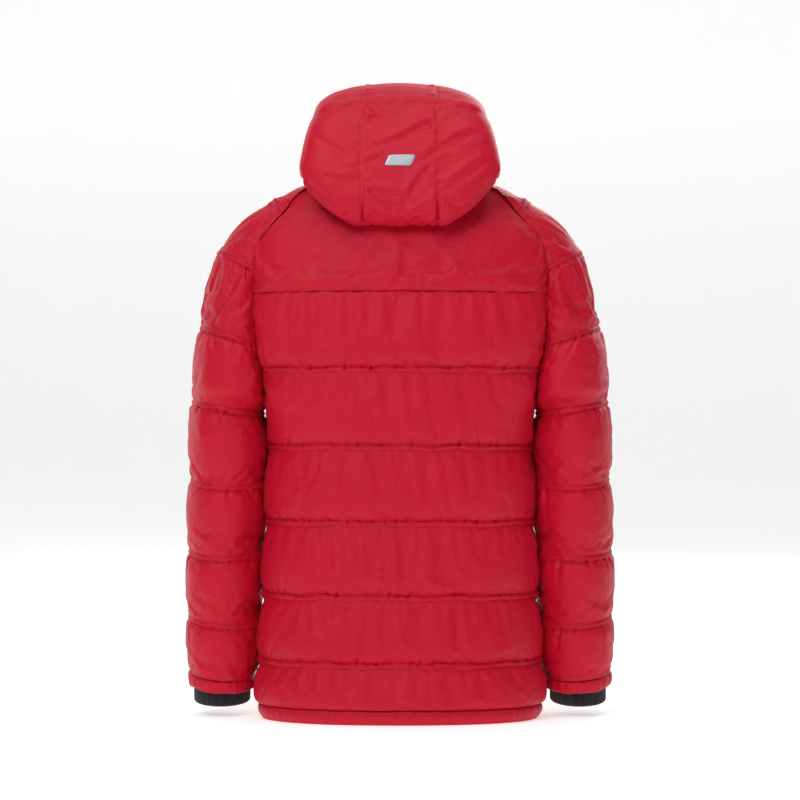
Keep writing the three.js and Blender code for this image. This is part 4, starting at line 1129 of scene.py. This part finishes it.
sleeveFolds = [(96, 168, 100, 0.5, 8, 3.0), (128, 172, 90, 0.35, 7, 2.6), (70, 176, 80, 0.6, 7, 2.2),
               (60, 285, 110, 0.45, 9, 3.0), (118, 300, 100, 0.3, 8, 2.8), (150, 330, 70, 0.5, 7, 2.4),
               (120, 430, 84, 0.4, 8, 2.4), (80, 540, 70, 0.5, 7, 2.0), (140, 535, 70, -0.4, 7, 1.8)]
for hand, side in ((1, "left"), (-1, "right")):
    surface = lambda a, v, hand=hand: armSurface(a, levelAt(v), hand)
    columns = np.linspace(-1, 1, sleeve["columns"] + 1)
    outer, inner, normals, across, up = quilt(
        "sleeve_" + side, surface, columns, armRows, armHeld, armEdge, padding, 60 + hand,
        [hand * 0.262, -0.02, 0.4], armWay(hand), armRise)
    outer = gathers(outer, normals, across, up, armSeams[2:-1], 63 + hand, quilting["gatherDepth"])
    outer = gathers(outer, normals, across, up, [armSeams[-1]], 67 + hand, quilting["gatherDepth"] * 0.6)
    mirrored = [(across[0][-1] * 0.98 - at, *rest) for at, *rest in sleeveFolds]
    outer = longFolds(outer, normals, across, up, sleeveFolds + mirrored)
    # where it is sewn to the body its thickness lies along the panel
    t = levelAt(up)[:, None]
    share = np.abs(finerList(columns))[None, :]
    butt = smooth(share, 0.94, 1) * (1 - smooth(t, 3.7, 3.9))
    towardsMiddle = np.sign(finerList(columns))[None, :, None] * np.array([0, 1.0, 0])
    inner = mix(inner, outer + towardsMiddle * sleeve["buttWall"] * mm, butt[..., None])
    piece = shell("sleeve_quilted_" + side, outer, inner, [red])
    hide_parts("shoulder_" + side, "sleeve_back_" + side, "sleeve_front_" + side)
    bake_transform(piece)
    lines = seamStitches(outer, normals, up, armSeams[1:-1], quilting["strip"], slice(3, -3))
    piece = tubes("sleeve_stitches_" + side, lines, stitching["thread"] * mm, [thread])
    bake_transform(piece)
print("sleeves quilted")

# the cuff bands, and the knitted cuffs inside them

cuff = {"wall": 4.5, "columns": 160, "rows": 15, "ruffle": 1.1, "fold": 2.2}
rib = {"halfWidth": 43, "halfDepth": 50, "bottom": 21, "top": 100, "wall": 4, "ribs": 84, "deep": 0.75,
       "perRib": 6}


def ribSurface(turn, z, inset, hand):
    y = (rib["halfDepth"] - inset) * np.sin(turn)
    lean = z - 60
    x = 271 - 0.012 * lean + (rib["halfWidth"] - inset) * np.cos(turn)
    return points(hand * x, -36 + 0.07 * lean + y, z - 0.12 * y)


for hand, side in ((1, "left"), (-1, "right")):
    a, t = np.meshgrid(np.linspace(-1, 1, cuff["columns"] + 1), np.linspace(8.03, 9, cuff["rows"]))
    base = armSurface(a, t, hand)
    away = outwards(base, [hand * 271, -38, 50])
    away[:, 0] = away[:, -1] = [-hand, 0, 0]
    f = (t - 8.03) / 0.97
    # gathered into the quilting above, and turned under along its edge
    ruffle = waves(a * 190, 71 + hand, 7, 22) * cuff["ruffle"] * (1 - 0.6 * f)
    ruffle *= smooth(1 - np.abs(a), 0, 0.04)
    swell = 2.4 * np.sin(np.clip(f, 0, 1) * math.pi) ** 0.6 - cuff["fold"] * smooth(f, 0.9, 1)
    outer = base + away * (ruffle + swell)[..., None]
    sag = waves(a * 190, 75 + hand, 30, 80) * 1.0 * smooth(f, 0.5, 1) * smooth(1 - np.abs(a), 0, 0.04)
    outer[..., 2] += sag
    inner = base - away * (cuff["wall"] - 0.6 * smooth(f, 0.9, 1))[..., None]
    inner[..., 2] += sag
    piece = shell("cuff_shell_" + side, toFrame(outer), toFrame(inner), [red], sharp=80)
    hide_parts("cuff_band_" + side)
    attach(piece, "sleeve_" + side)
    # topstitching near the cuff's lower edge
    i = cuff["rows"] - 4
    lines = stitchLine(toFrame(outer)[i], away[i])
    piece = tubes("cuff_stitches_" + side, lines, stitching["thread"] * mm, [thread])
    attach(piece, "sleeve_" + side)

    turns = np.linspace(0, 2 * math.pi, rib["ribs"] * rib["perRib"] + 1)
    heights = rib["bottom"] + np.array([0, 0.7, 1.8, 3.4])
    heights = np.concatenate([heights, np.linspace(27, rib["top"], 14)])
    turn, z = np.meshgrid(turns, heights)
    ridged = rib["deep"] * (1 - np.abs(np.cos(turn * rib["ribs"] / 2)) ** 0.7)
    lipIn = 2.0 * (1 - smooth(z, rib["bottom"] - 0.1, rib["bottom"] + 3.6)) ** 2
    wavy = 0.7 * waves(turn * 46, 81 + hand, 60, 140) * np.sin(turn / 2) ** 2
    outer = ribSurface(turn, z, ridged + lipIn + wavy, hand)
    inner = ribSurface(turn, z, rib["wall"] - ridged * 0.5 - lipIn * 0.4 + wavy, hand)
    piece = shell("knit_cuff_" + side, toFrame(outer), toFrame(inner), [knit], sharp=75)
    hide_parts("rib_cuff_" + side)
    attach(piece, "sleeve_" + side)
print("cuffs made")

# the gathered band round the hem

hem = {"wall": 6, "rows": 13, "pitch": 3.2, "swell": 1.6, "tuck": 5.5, "pucker": 0.9, "top": 20.85}


def hemSurface(turn, z):
    front = np.where(turn < 0, -turn, 2 * math.pi - turn)
    before = bodyPoint(front, z, -1)
    behind = bodyPoint(turn, z, 1)
    isFront = (turn < 0) | (turn > math.pi)
    return np.where(isFront[..., None], before, behind)


slotEnd = float(slotTurn(np.array(0.0)))
dense = np.linspace(-slotEnd, math.pi + slotEnd, 2000)
path = hemSurface(dense, np.zeros_like(dense))
way = np.concatenate([[0], np.cumsum(np.linalg.norm(np.diff(path, axis=0), axis=1))])
turns = np.interp(np.arange(0, way[-1] + 0.1, way[-1] / round(way[-1] / hem["pitch"])), way, dense)
turn, z = np.meshgrid(turns, hem["top"] * np.linspace(0, 1, hem["rows"]) ** 1.3)
base = hemSurface(turn, z)
away = outwards(base, [0, 0, 10]) * np.array([1, 1, 0])
away /= np.linalg.norm(away, axis=-1, keepdims=True)
f = z / hem["top"]
fromZip = np.minimum(turn + slotEnd, math.pi + slotEnd - turn)
calm = smooth(fromZip, 0, 0.12)
pucker = waves(np.interp(turn, dense, way), 91, 8, 26) * hem["pucker"] * calm * (0.4 + 0.6 * f)
tuck = hem["tuck"] * (1 - smooth(z, -4, 13)) * calm
outer = base + away * (hem["swell"] * np.sin(f * math.pi) ** 0.7 + pucker - tuck)[..., None]
wall = mix(3, hem["wall"], calm) - tuck * 0.3
inner = base - away * (wall + tuck)[..., None]
hemPiece = shell("hem_shell", toFrame(outer), toFrame(inner), [red], sharp=80)
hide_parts("hem_band")
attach(hemPiece, "torso")
i = int(np.argmin(np.abs(z[:, 0] - 15.5)))
hemStitches = stitchLine(toFrame(outer)[i], away[i])

# the stand collar

collar = {"height": 74, "wall": 7, "zipWall": 2.4, "columns": 150, "rows": 21, "swell": 1.6, "lap": 0.85}
gap = float(neckTurnAt(body["slot"] / 2))
turn, h = np.meshgrid(np.linspace(-math.pi / 2 + gap, 1.5 * math.pi - gap, collar["columns"] + 1),
                      np.linspace(collar["lap"], collar["height"], collar["rows"]))
base = collarSurface(turn, h)
away = outwards(base, [0, body["neckMiddle"], body["length"] + 40])
fromBack = np.abs(turn - math.pi / 2)
calm = 1 - smooth(fromBack, 2.55, 2.85)
f = (h - collar["lap"]) / (collar["height"] - collar["lap"])
rounded = 1.6 * (1 - np.sqrt(np.clip(1 - np.clip(f * 12 - 11, 0, 1) ** 2, 0, 1)))
swell = collar["swell"] * np.sin(f * math.pi) ** 0.7 * calm * smooth(-np.sin(turn), -0.9, 0.2)
ripple = 0.5 * waves(turn * 88, 95, 9, 40) * calm * np.sin(f * math.pi)
outer = base + away * (swell - rounded + ripple)[..., None]
inner = base - away * (mix(collar["zipWall"], collar["wall"], calm) - rounded)[..., None]
piece = shell("collar_shell", toFrame(outer), toFrame(inner), [red], sharp=75)
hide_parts("collar")
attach(piece, "torso")
i = collar["rows"] - 3
collarStitches = stitchLine(toFrame(outer)[i], away[i])
print("hem and collar made")

# the hood, and the roll that it makes over the yoke

hoodCloth = dict(padding, stiffness=10, spare=0.03, pressure=0.9, gravity=0.25, cap=7, bending=0.4)
hoodCreases = [(-20, 872, -0.38, 150, 4.5, 4.0), (-60, 846, -0.42, 130, 5, 3.6), (20, 780, 0.3, 80, 4, 3.4),
               (-22, 790, -1.1, 90, 4, 3.0), (75, 800, 0.28, 90, 4, 2.8), (28, 905, 0.8, 50, 4, 3.0),
               (45, 828, -0.2, 70, 4, 2.6), (-95, 806, -0.5, 90, 5, 3.2), (100, 850, 0.9, 70, 5, 2.0)]
hoodFull = {"crumple": 3.4, "hemSwell": 2.0, "seamDeep": 2.2, "puff": 3.0}


def hoodWhole(a, q):
    # q runs from the face edge (0) over the crown to the hinge line (1), then down the roll to the neck (2)
    r = np.clip(q - 1, 0, 1)
    within = np.clip(a, -hood["rollAcross"], hood["rollAcross"])
    over = hoodSurface(a, np.minimum(q, 1))
    roll = rollSurface(within, r)
    return np.where((q > 1)[..., None], roll, over)


half = np.concatenate([np.linspace(0, 0.2, 10), np.linspace(0.2, 1, 48)[1:]])
hoodColumns = np.concatenate([-half[:0:-1], half])
hoodQ = np.concatenate([np.linspace(0, hood["hem"], 4), np.linspace(hood["hem"], 1, 56)[1:],
                        1 + np.linspace(0, 1, 27)[1:]])
a, q = np.meshgrid(hoodColumns, hoodQ)
base = toFrame(hoodWhole(a, q))
# the crown panel is domed between its two seams
domed = np.cos(np.clip(a / 0.4, -0.5, 0.5) * math.pi) * (1 - smooth(q, 0.35, 0.6))
base[..., 2] += hood["dome"] * mm * domed
# the fold over the hinge line is a soft one
inside = (np.abs(a) < 0.52) & (np.abs(q - 1) < 0.16)
for _ in range(12):
    even = (base[:-2] + base[2:]) / 2
    base[1:-1] = np.where(inside[1:-1, :, None], even, base[1:-1])
away = outwards(base[:60], [0, 0.02, 0.86])
away = outwards(base, [0, 0.02, 0.86]) * np.sign(np.sum(outwards(base, [0, 0.02, 0.86])[:60] * away))
cloth = (q <= 1 + 1e-9) | (np.abs(a) <= hood["rollAcross"] + 1e-9)
edgeNear = smooth(1 - np.abs(a), 0, 0.1) * smooth(q, hood["hem"], 0.14) * (1 - smooth(q, 1.75, 2))
edgeNear = edgeNear * mix(1, 1 - smooth(np.abs(a), 0.42, 0.6), smooth(q, 0.82, 1))
seamNear = smooth(np.abs(np.abs(a) - 0.2), 0, 0.035)
fromPatch = np.hypot(base[..., 0] / 0.034, (base[..., 2] - 0.837) / 0.026)
edgeNear = edgeNear * mix(0.12, 1, smooth(fromPatch, 0.7, 1.5))
crumple = slantedNoise(base, 101, (38, 95)) * hoodFull["crumple"] * edgeNear * mix(0.35, 1, seamNear)
plump = hoodFull["puff"] * edgeNear * seamNear ** 0.6
hemBand = hoodFull["hemSwell"] * np.sin(np.clip(q / hood["hem"], 0, 1) * math.pi)
start = base + away * (crumple + plump + hemBand)[..., None] * mm
onRim = (np.abs(a) > 1 - 1e-9) | (q <= hood["hem"] + 1e-9) | (q > 2 - 1e-9) | ~cloth
onRim |= (q > 0.985) & (np.abs(a) > hood["rollAcross"] - 1e-9)
onRim |= (np.abs(np.abs(a) - 0.2) < 1e-9) & (q < 1.6)
inCloth = cloth[:-1, :-1] & cloth[1:, :-1] & cloth[:-1, 1:] & cloth[1:, 1:]
done = drape("hood", start, away, onRim, hoodCloth, inCloth)
sunk = np.minimum(0, np.sum((done - base) * away, axis=-1) + 1.5 * mm)
done = done - away * sunk[..., None]
outer, hoodRows, hoodAcross = finer(done), finerList(hoodQ), finerList(hoodColumns)
normals = finer(away)
normals /= np.maximum(np.linalg.norm(normals, axis=-1, keepdims=True), 1e-9)
calmer = finer((edgeNear * seamNear)[..., None])[..., 0]
for x0, z0, slope, length, width, depth in hoodCreases:
    # each crease: its middle, its slope, length, width and depth
    turnBy = math.atan(slope)
    dx, dz = outer[..., 0] / mm - x0, outer[..., 2] / mm - z0
    alongIt = dx * math.cos(turnBy) + dz * math.sin(turnBy)
    offIt = dz * math.cos(turnBy) - dx * math.sin(turnBy) + 4 * np.sin(alongIt / 23)
    fall = np.clip(1 - (2 * alongIt / length) ** 2, 0, 1) * calmer * (outer[..., 1] > 0.02)
    pinch = np.exp(-(offIt / width) ** 2) - 0.9 * np.exp(-((offIt - 2.4 * width) / (1.5 * width)) ** 2)
    outer = outer - normals * (depth * fall * pinch)[..., None] * mm
seamDent = np.exp(-((np.abs(hoodAcross) - 0.2) / 0.006) ** 2) * hoodFull["seamDeep"]
seamDent = seamDent[None, :] * (1 - smooth(hoodRows, 1.5, 1.65))[:, None]
# the seam over the crown, behind the face panel
crownX = outer[..., 0] / mm
fromCrown = outer[..., 2] / mm - 919 + 15 * (crownX / 123) ** 2 + 1.2 * waves(crownX, 99, 14, 50)
onCrown = (outer[..., 1] > 0) * (1 - smooth(np.abs(crownX), 104, 126))
seamDent = seamDent + onCrown * 3.4 * np.exp(-(fromCrown / 2.4) ** 2)
seamDent = seamDent - onCrown * 2.4 * np.exp(-((fromCrown - 8) / 5) ** 2)
outer = outer - normals * seamDent[..., None] * mm
across, _ = clothMap(finer(base))
for column, seed in ((-0.2, 111), (0.2, 112)):
    # little gathers on both sides of each long seam
    j = int(np.argmin(np.abs(hoodAcross - column)))
    luck = np.random.default_rng(seed)
    place0 = across[0][j] / mm
    for row in range(8, 118, 1):
        if luck.uniform() < 0.22:
            side = luck.choice([-1, 1])
            d = (across[0] / mm - place0) * side
            reach = luck.uniform(8, 34)
            fall = np.clip(1 - d / reach, 0, 1) * (d > 0)
            rowsNear = np.arange(max(0, row - 4), min(len(hoodRows), row + 5))
            lean = luck.normal(0, 0.06)
            line = (rowsNear[:, None] - row - lean * d[None, :]) / 1.1
            outer[rowsNear] -= normals[rowsNear] * (np.exp(-line ** 2) * fall * 1.3 * mm)[..., None]
inner = finer(base) - normals * quilting["lining"] * mm
whole = finer(cloth.astype(float)[..., None])[..., 0] > 0.999
keep = whole[:-1, :-1] & whole[1:, :-1] & whole[:-1, 1:] & whole[1:, 1:]
hoodPiece = shell("hood_shell", outer, inner, [red], keep, sharp=70)
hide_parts("hood_centre", "hood_side_left", "hood_side_right", "hood_hem", "hood_roll")
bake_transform(hoodPiece)

hoodStitches = []
i = int(np.argmin(np.abs(hoodRows - hood["hem"])))
hoodStitches += stitchLine(outer[i], normals[i])
for column in (-0.2, 0.2):
    j = int(np.argmin(np.abs(hoodAcross - column))) + (1 if column > 0 else -1)
    last = int(np.argmin(np.abs(hoodRows - 1.55)))
    hoodStitches += stitchLine(outer[8:last, j], normals[8:last, j])
piece = tubes("hood_stitches", hoodStitches, stitching["thread"] * mm, [thread])
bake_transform(piece)

# the reflective patch on the hood

patch = {"s": 0.832, "long": 39, "high": 17, "thick": 0.8, "lean": -0.16, "corner": 7, "rise": 0.0425}
p, w = np.meshgrid(np.linspace(-1, 1, 41), np.linspace(-1, 1, 21))
squared = (np.abs(p) ** patch["corner"] + np.abs(w) ** patch["corner"]) ** (1 / patch["corner"])
scale = np.maximum(np.abs(p), np.abs(w)) / np.maximum(squared, 1e-9)
p, w = p * scale, w * scale
atA = (p + patch["lean"] * w) * patch["long"] / 2 / hood["strip"] * hood["stripShare"]
atS = patch["s"] - w * patch["rise"]
ground = sample(outer, hoodRows, hoodAcross, atS, atA)
groundWay = sample(normals, hoodRows, hoodAcross, atS, atA)
# the film bridges the smallest wrinkles under it
for _ in range(3):
    ground[1:-1, 1:-1] = (ground[:-2, 1:-1] + ground[2:, 1:-1] + ground[1:-1, :-2] + ground[1:-1, 2:]) / 4
edge = np.maximum(np.abs(p), np.abs(w))
bevel = np.sqrt(np.clip(1 - np.clip((edge - 0.9) / 0.1, 0, 1) ** 2, 0, 1))
face = ground + groundWay * (1.1 + patch["thick"] * (0.35 + 0.65 * bevel))[..., None] * mm
badge = shell("hood_patch", face, ground - groundWay * 0.3 * mm, [film], sharp=50)
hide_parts("hood_badge")
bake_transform(badge)
print("hood made")

# the linings


def lined(name, surface, columns, rows, depth, centre, node, ripple, seed, wall=1.2):
    u, v = np.meshgrid(columns, rows)
    base = toFrame(surface(u, v))
    away = outwards(base, centre)
    soft = slantedNoise(base, seed, (40, 110)) * ripple
    near = np.minimum(np.arange(len(rows)), np.arange(len(rows))[::-1])[:, None] / 5
    soft = np.abs(soft) * np.minimum(1, near)
    top = base - away * (depth(u, v) + soft)[..., None] * mm
    made = shell(name, top, top - away * wall * mm, [liningCloth])
    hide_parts(node)
    return made


def drawnIn(u, z, mid):
    return mix(u, mid, 0.09 * smooth(z, 440, 480))


def backLiningDepth(u, z):
    high = smooth(z, 440, 480)
    return 8.6 + 1.6 * (np.maximum(high, smooth(np.minimum(u, 1 - u), 0.03, 0.1)) + high)


def sleeveLiningDepth(a, t):
    return (mix(8, 4.5, smooth(t, 4, 8)) + 3) * (1 - smooth(t, 7, 7.4))


liningRows = np.linspace(8, 760, 96)
piece = lined("back_lining", lambda u, z: bodySurface(1, 1, drawnIn(u, z, 0.5), np.minimum(z, 759)),
              np.linspace(0, 1, 60), liningRows, backLiningDepth, spineMiddle, "lining_back", 1.6, 131)
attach(piece, "torso")
for hand, side in ((1, "left"), (-1, "right")):
    surface = lambda u, z, hand=hand: bodySurface(-1, hand, drawnIn(u, z, 1), np.minimum(z, 759))
    piece = lined("front_lining_" + side, surface, np.linspace(0, 0.93, 34), liningRows,
                  lambda u, z: 8.6 + 4 * smooth(u, 0.06, 0.32), spineMiddle, "lining_" + side, 1.6,
                  133 + hand)
    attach(piece, "torso")

    def sleeveInside(a, t, hand=hand):
        q = armSurface(a, np.minimum(t, 7.4), hand)
        wrist = ribSurface(-a * math.pi, np.full_like(t, rib["top"] + 0.3), 1.2, hand)
        return mix(q, wrist, smooth(t, 7.0, 7.45)[..., None])

    piece = lined("sleeve_lining_shell_" + side, sleeveInside, np.linspace(-0.97, 0.97, 61),
                  np.linspace(2.06, 7.45, 70), sleeveLiningDepth,
                  [hand * 0.262, -0.02, 0.4], "sleeve_lining_" + side, 1.4, 137 + hand)
    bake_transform(piece)
piece = lined("hood_lining_shell", hoodSurface, np.linspace(-0.94, 0.94, 90), np.linspace(0.045, 0.97, 60),
              lambda a, s: 5.6 + 3.2 * smooth(s, 0.05, 0.12), [0, 0.02, 0.86], "hood_lining", 1.6, 139)
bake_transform(piece)
print("linings made")

# the zips

zipTooth = {"pitch": 3.3, "tall": 1.9, "nose": 0.55, "across": 2.8, "deep": 4.0, "bevel": 0.35}


def barOf(name):
    # the ends of a straight bar of the frame
    co = np.array([v.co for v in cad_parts[name].data.vertices], float)
    order = np.argsort(co[:, 2])
    quarter = max(2, len(co) // 2)
    low, high = co[order[:quarter]].mean(0), co[order[-quarter:]].mean(0)
    return low, high


def teeth(name, low, high, across, inwards, hand, tooth):
    # moulded teeth, each a bevelled block with a narrower nose towards the other chain
    along = (high - low) / np.linalg.norm(high - low)
    count = int(np.linalg.norm(high - low) / mm / tooth["pitch"])
    half, deep, tall, b = tooth["across"] / 2, tooth["deep"] / 2, tooth["tall"] / 2, tooth["bevel"]
    ring = [(-1, -1), (1, -1), (1, 1), (-1, 1)]
    verts, faces = [], []
    for k in range(count):
        middle = low + along * (k + (0.25 if hand > 0 else 0.75)) * tooth["pitch"] * mm
        first = len(verts)
        stations = [(-half, deep - b, tall - b), (-half + b, deep, tall), (half * 0.3, deep, tall),
                    (half - b, deep, tall * tooth["nose"]), (half, deep - b, tall * tooth["nose"] - 0.1)]
        for x, d, t in stations:
            for sy, sz in ring:
                verts.append(middle + (across * -hand * x + inwards * sy * d + along * sz * t) * mm)
        for i in range(len(stations) - 1):
            for j in range(4):
                p, q = first + i * 4 + j, first + i * 4 + (j + 1) % 4
                face = (p, q, q + 4, p + 4)
                faces.append(face if hand < 0 else face[::-1])
        last = first + (len(stations) - 1) * 4
        ends = [tuple(first + j for j in (3, 2, 1, 0)), tuple(last + j for j in range(4))]
        faces.extend(ends if hand < 0 else [e[::-1] for e in ends])
    mesh = bpy.data.meshes.new(name)
    mesh.from_pydata([tuple(v) for v in verts], [], faces)
    return newObject(name, mesh, [zipPlastic])


zipWay = np.array([0, body["frontLean"], 1]) / math.hypot(1, body["frontLean"])
for hand, side in ((1, "left"), (-1, "right")):
    low, high = barOf("zip_teeth_" + side)
    across = np.array([1.0, 0, 0])
    inwards = np.cross(zipWay, across)
    piece = teeth("zip_chain_" + side, low, high, across, inwards, hand, zipTooth)
    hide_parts("zip_teeth_" + side)
    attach(piece, "torso")

    origin, x, inwards, z = pocketFrame(hand)
    reach = (pocket["length"] / 2 + 4) * mm
    u, v = np.meshgrid(np.linspace(-9.5, 9.5, 13), np.linspace(-reach, reach, 60))
    tape = origin + x * u[..., None] * mm + z * v[..., None] + inwards * pocket["tapeDeep"] * mm
    piece = shell("pocket_tape_" + side, tape, tape + inwards * mm, [tapeCloth])
    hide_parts("pocket_zip_" + side)
    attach(piece, "torso")
    small = dict(zipTooth, pitch=pocket["toothPitch"], tall=1.3, across=2.2, deep=3.0)
    for chain in (1, -1):
        middle = origin + x * chain * 1.6 * mm + inwards * (pocket["tapeDeep"] + 0.5) * mm
        halfChain = z * (reach - 9 * mm)
        piece = teeth("pocket_chain_%s_%s" % (side, "a" if chain > 0 else "b"), middle - halfChain,
                      middle + halfChain, x, inwards, chain, small)
        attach(piece, "torso")
print("zips made")

# the stitches of the body, which ride with it

for name, lines in (("back_stitches", backStitches), ("front_stitches", frontStitches),
                    ("hem_stitches", hemStitches), ("collar_stitches", collarStitches)):
    piece = tubes(name, lines, stitching["thread"] * mm, [thread])
    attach(piece, "torso")

# finishes for the frame's own pieces that stay in view

finishes = {
    "zip_tape": tapeCloth, "zip_stop": zipMetal, "zip_box": zipPlastic, "wind_guard": liningCloth,
    "pocket_bag": liningCloth, "hanger_loop": tapeCloth, "neck_label": tapeCloth, "main_slider": zipMetal,
    "pocket_slider": zipMetal, "main_pull": zipPlastic, "pocket_pull": zipPlastic,
}
for name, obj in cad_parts.items():
    for start, finish in finishes.items():
        if name.startswith(start):
            obj.data.materials.clear()
            obj.data.materials.append(finish)

# the floor, the lights and the camera

stage = {"half": 9.0, "bend": 1.6, "back": 4.5, "glow": 0.5}
view = {"distance": 4.2, "height": 0.4785, "width": 1.2, "aimY": 0.03}


def sweep():
    # a pale floor that the object stands on, turned up behind it
    m = bpy.data.materials.new("pale_paper")
    m.use_nodes = True
    tree = m.node_tree
    tree.nodes["Principled BSDF"].inputs["Roughness"].default_value = 0.9
    tree.nodes["Principled BSDF"].inputs["Emission Color"].default_value = (1, 1, 1, 1)
    tree.nodes["Principled BSDF"].inputs["Emission Strength"].default_value = stage["glow"]
    grain = node(tree, "TexNoise", Scale=6.0)
    tree.links.new(toned(tree, grain.outputs[0], (0.84, 0.84, 0.84), (0.88, 0.88, 0.88)),
                   tree.nodes["Principled BSDF"].inputs["Base Color"])
    y = [6.0]
    z = [0.0]
    for k in range(13):
        t = k / 12 * math.pi / 2
        y.append(-stage["back"] - stage["bend"] * math.sin(t))
        z.append(stage["bend"] * (1 - math.cos(t)))
    y.append(y[-1])
    z.append(7.0)
    verts = [(x, yy, zz - 0.0005) for yy, zz in zip(y, z) for x in (-stage["half"], stage["half"])]
    faces = [(2 * i, 2 * i + 1, 2 * i + 3, 2 * i + 2) for i in range(len(y) - 1)]
    mesh = bpy.data.meshes.new("paper_sweep")
    mesh.from_pydata(verts, [], faces)
    mesh.polygons.foreach_set("use_smooth", np.ones(len(mesh.polygons), bool))
    return newObject("paper_sweep", mesh, [m])


def softLight(name, at, aim, size, power):
    data = bpy.data.lights.new(name, "AREA")
    data.shape = "RECTANGLE"
    data.size, data.size_y = size
    data.energy = power
    obj = bpy.data.objects.new(name, data)
    bpy.context.scene.collection.objects.link(obj)
    obj.location = at
    obj.rotation_mode = "QUATERNION"
    obj.rotation_quaternion = (Vector(aim) - Vector(at)).to_track_quat("-Z", "Y")


sweep()
centre = (0, 0, 0.5)
softLight("key", (1.2, 2.9, 2.9), centre, (2.0, 1.4), 62)
softLight("fill", (-2.6, 2.6, 1.4), centre, (2.2, 2.6), 6)
softLight("top", (0, 0.4, 3.2), centre, (2.6, 2.2), 34)
softLight("frontKey", (-1.4, -3.2, 2.2), centre, (2.4, 2.0), 42)
softLight("frontFill", (2.6, -2.4, 1.0), centre, (2.0, 2.4), 12)
world = bpy.data.worlds.new("pale_room")
world.use_nodes = True
world.node_tree.nodes["Background"].inputs["Color"].default_value = (1, 1, 1, 1)
world.node_tree.nodes["Background"].inputs["Strength"].default_value = 0.15
bpy.context.scene.world = world
bpy.context.scene.view_settings.view_transform = "Standard"

lens = bpy.data.cameras.new("camera")
lens.sensor_width = 36
lens.lens = 36 * (view["distance"] - view["aimY"]) / view["width"]
camera = bpy.data.objects.new("camera", lens)
bpy.context.scene.collection.objects.link(camera)
camera.location = (0, view["distance"], view["height"])
camera.rotation_mode = "QUATERNION"
camera.rotation_quaternion = Vector((0, -1, 0)).to_track_quat("-Z", "Y")
bpy.context.scene.camera = camera
print("stage set")
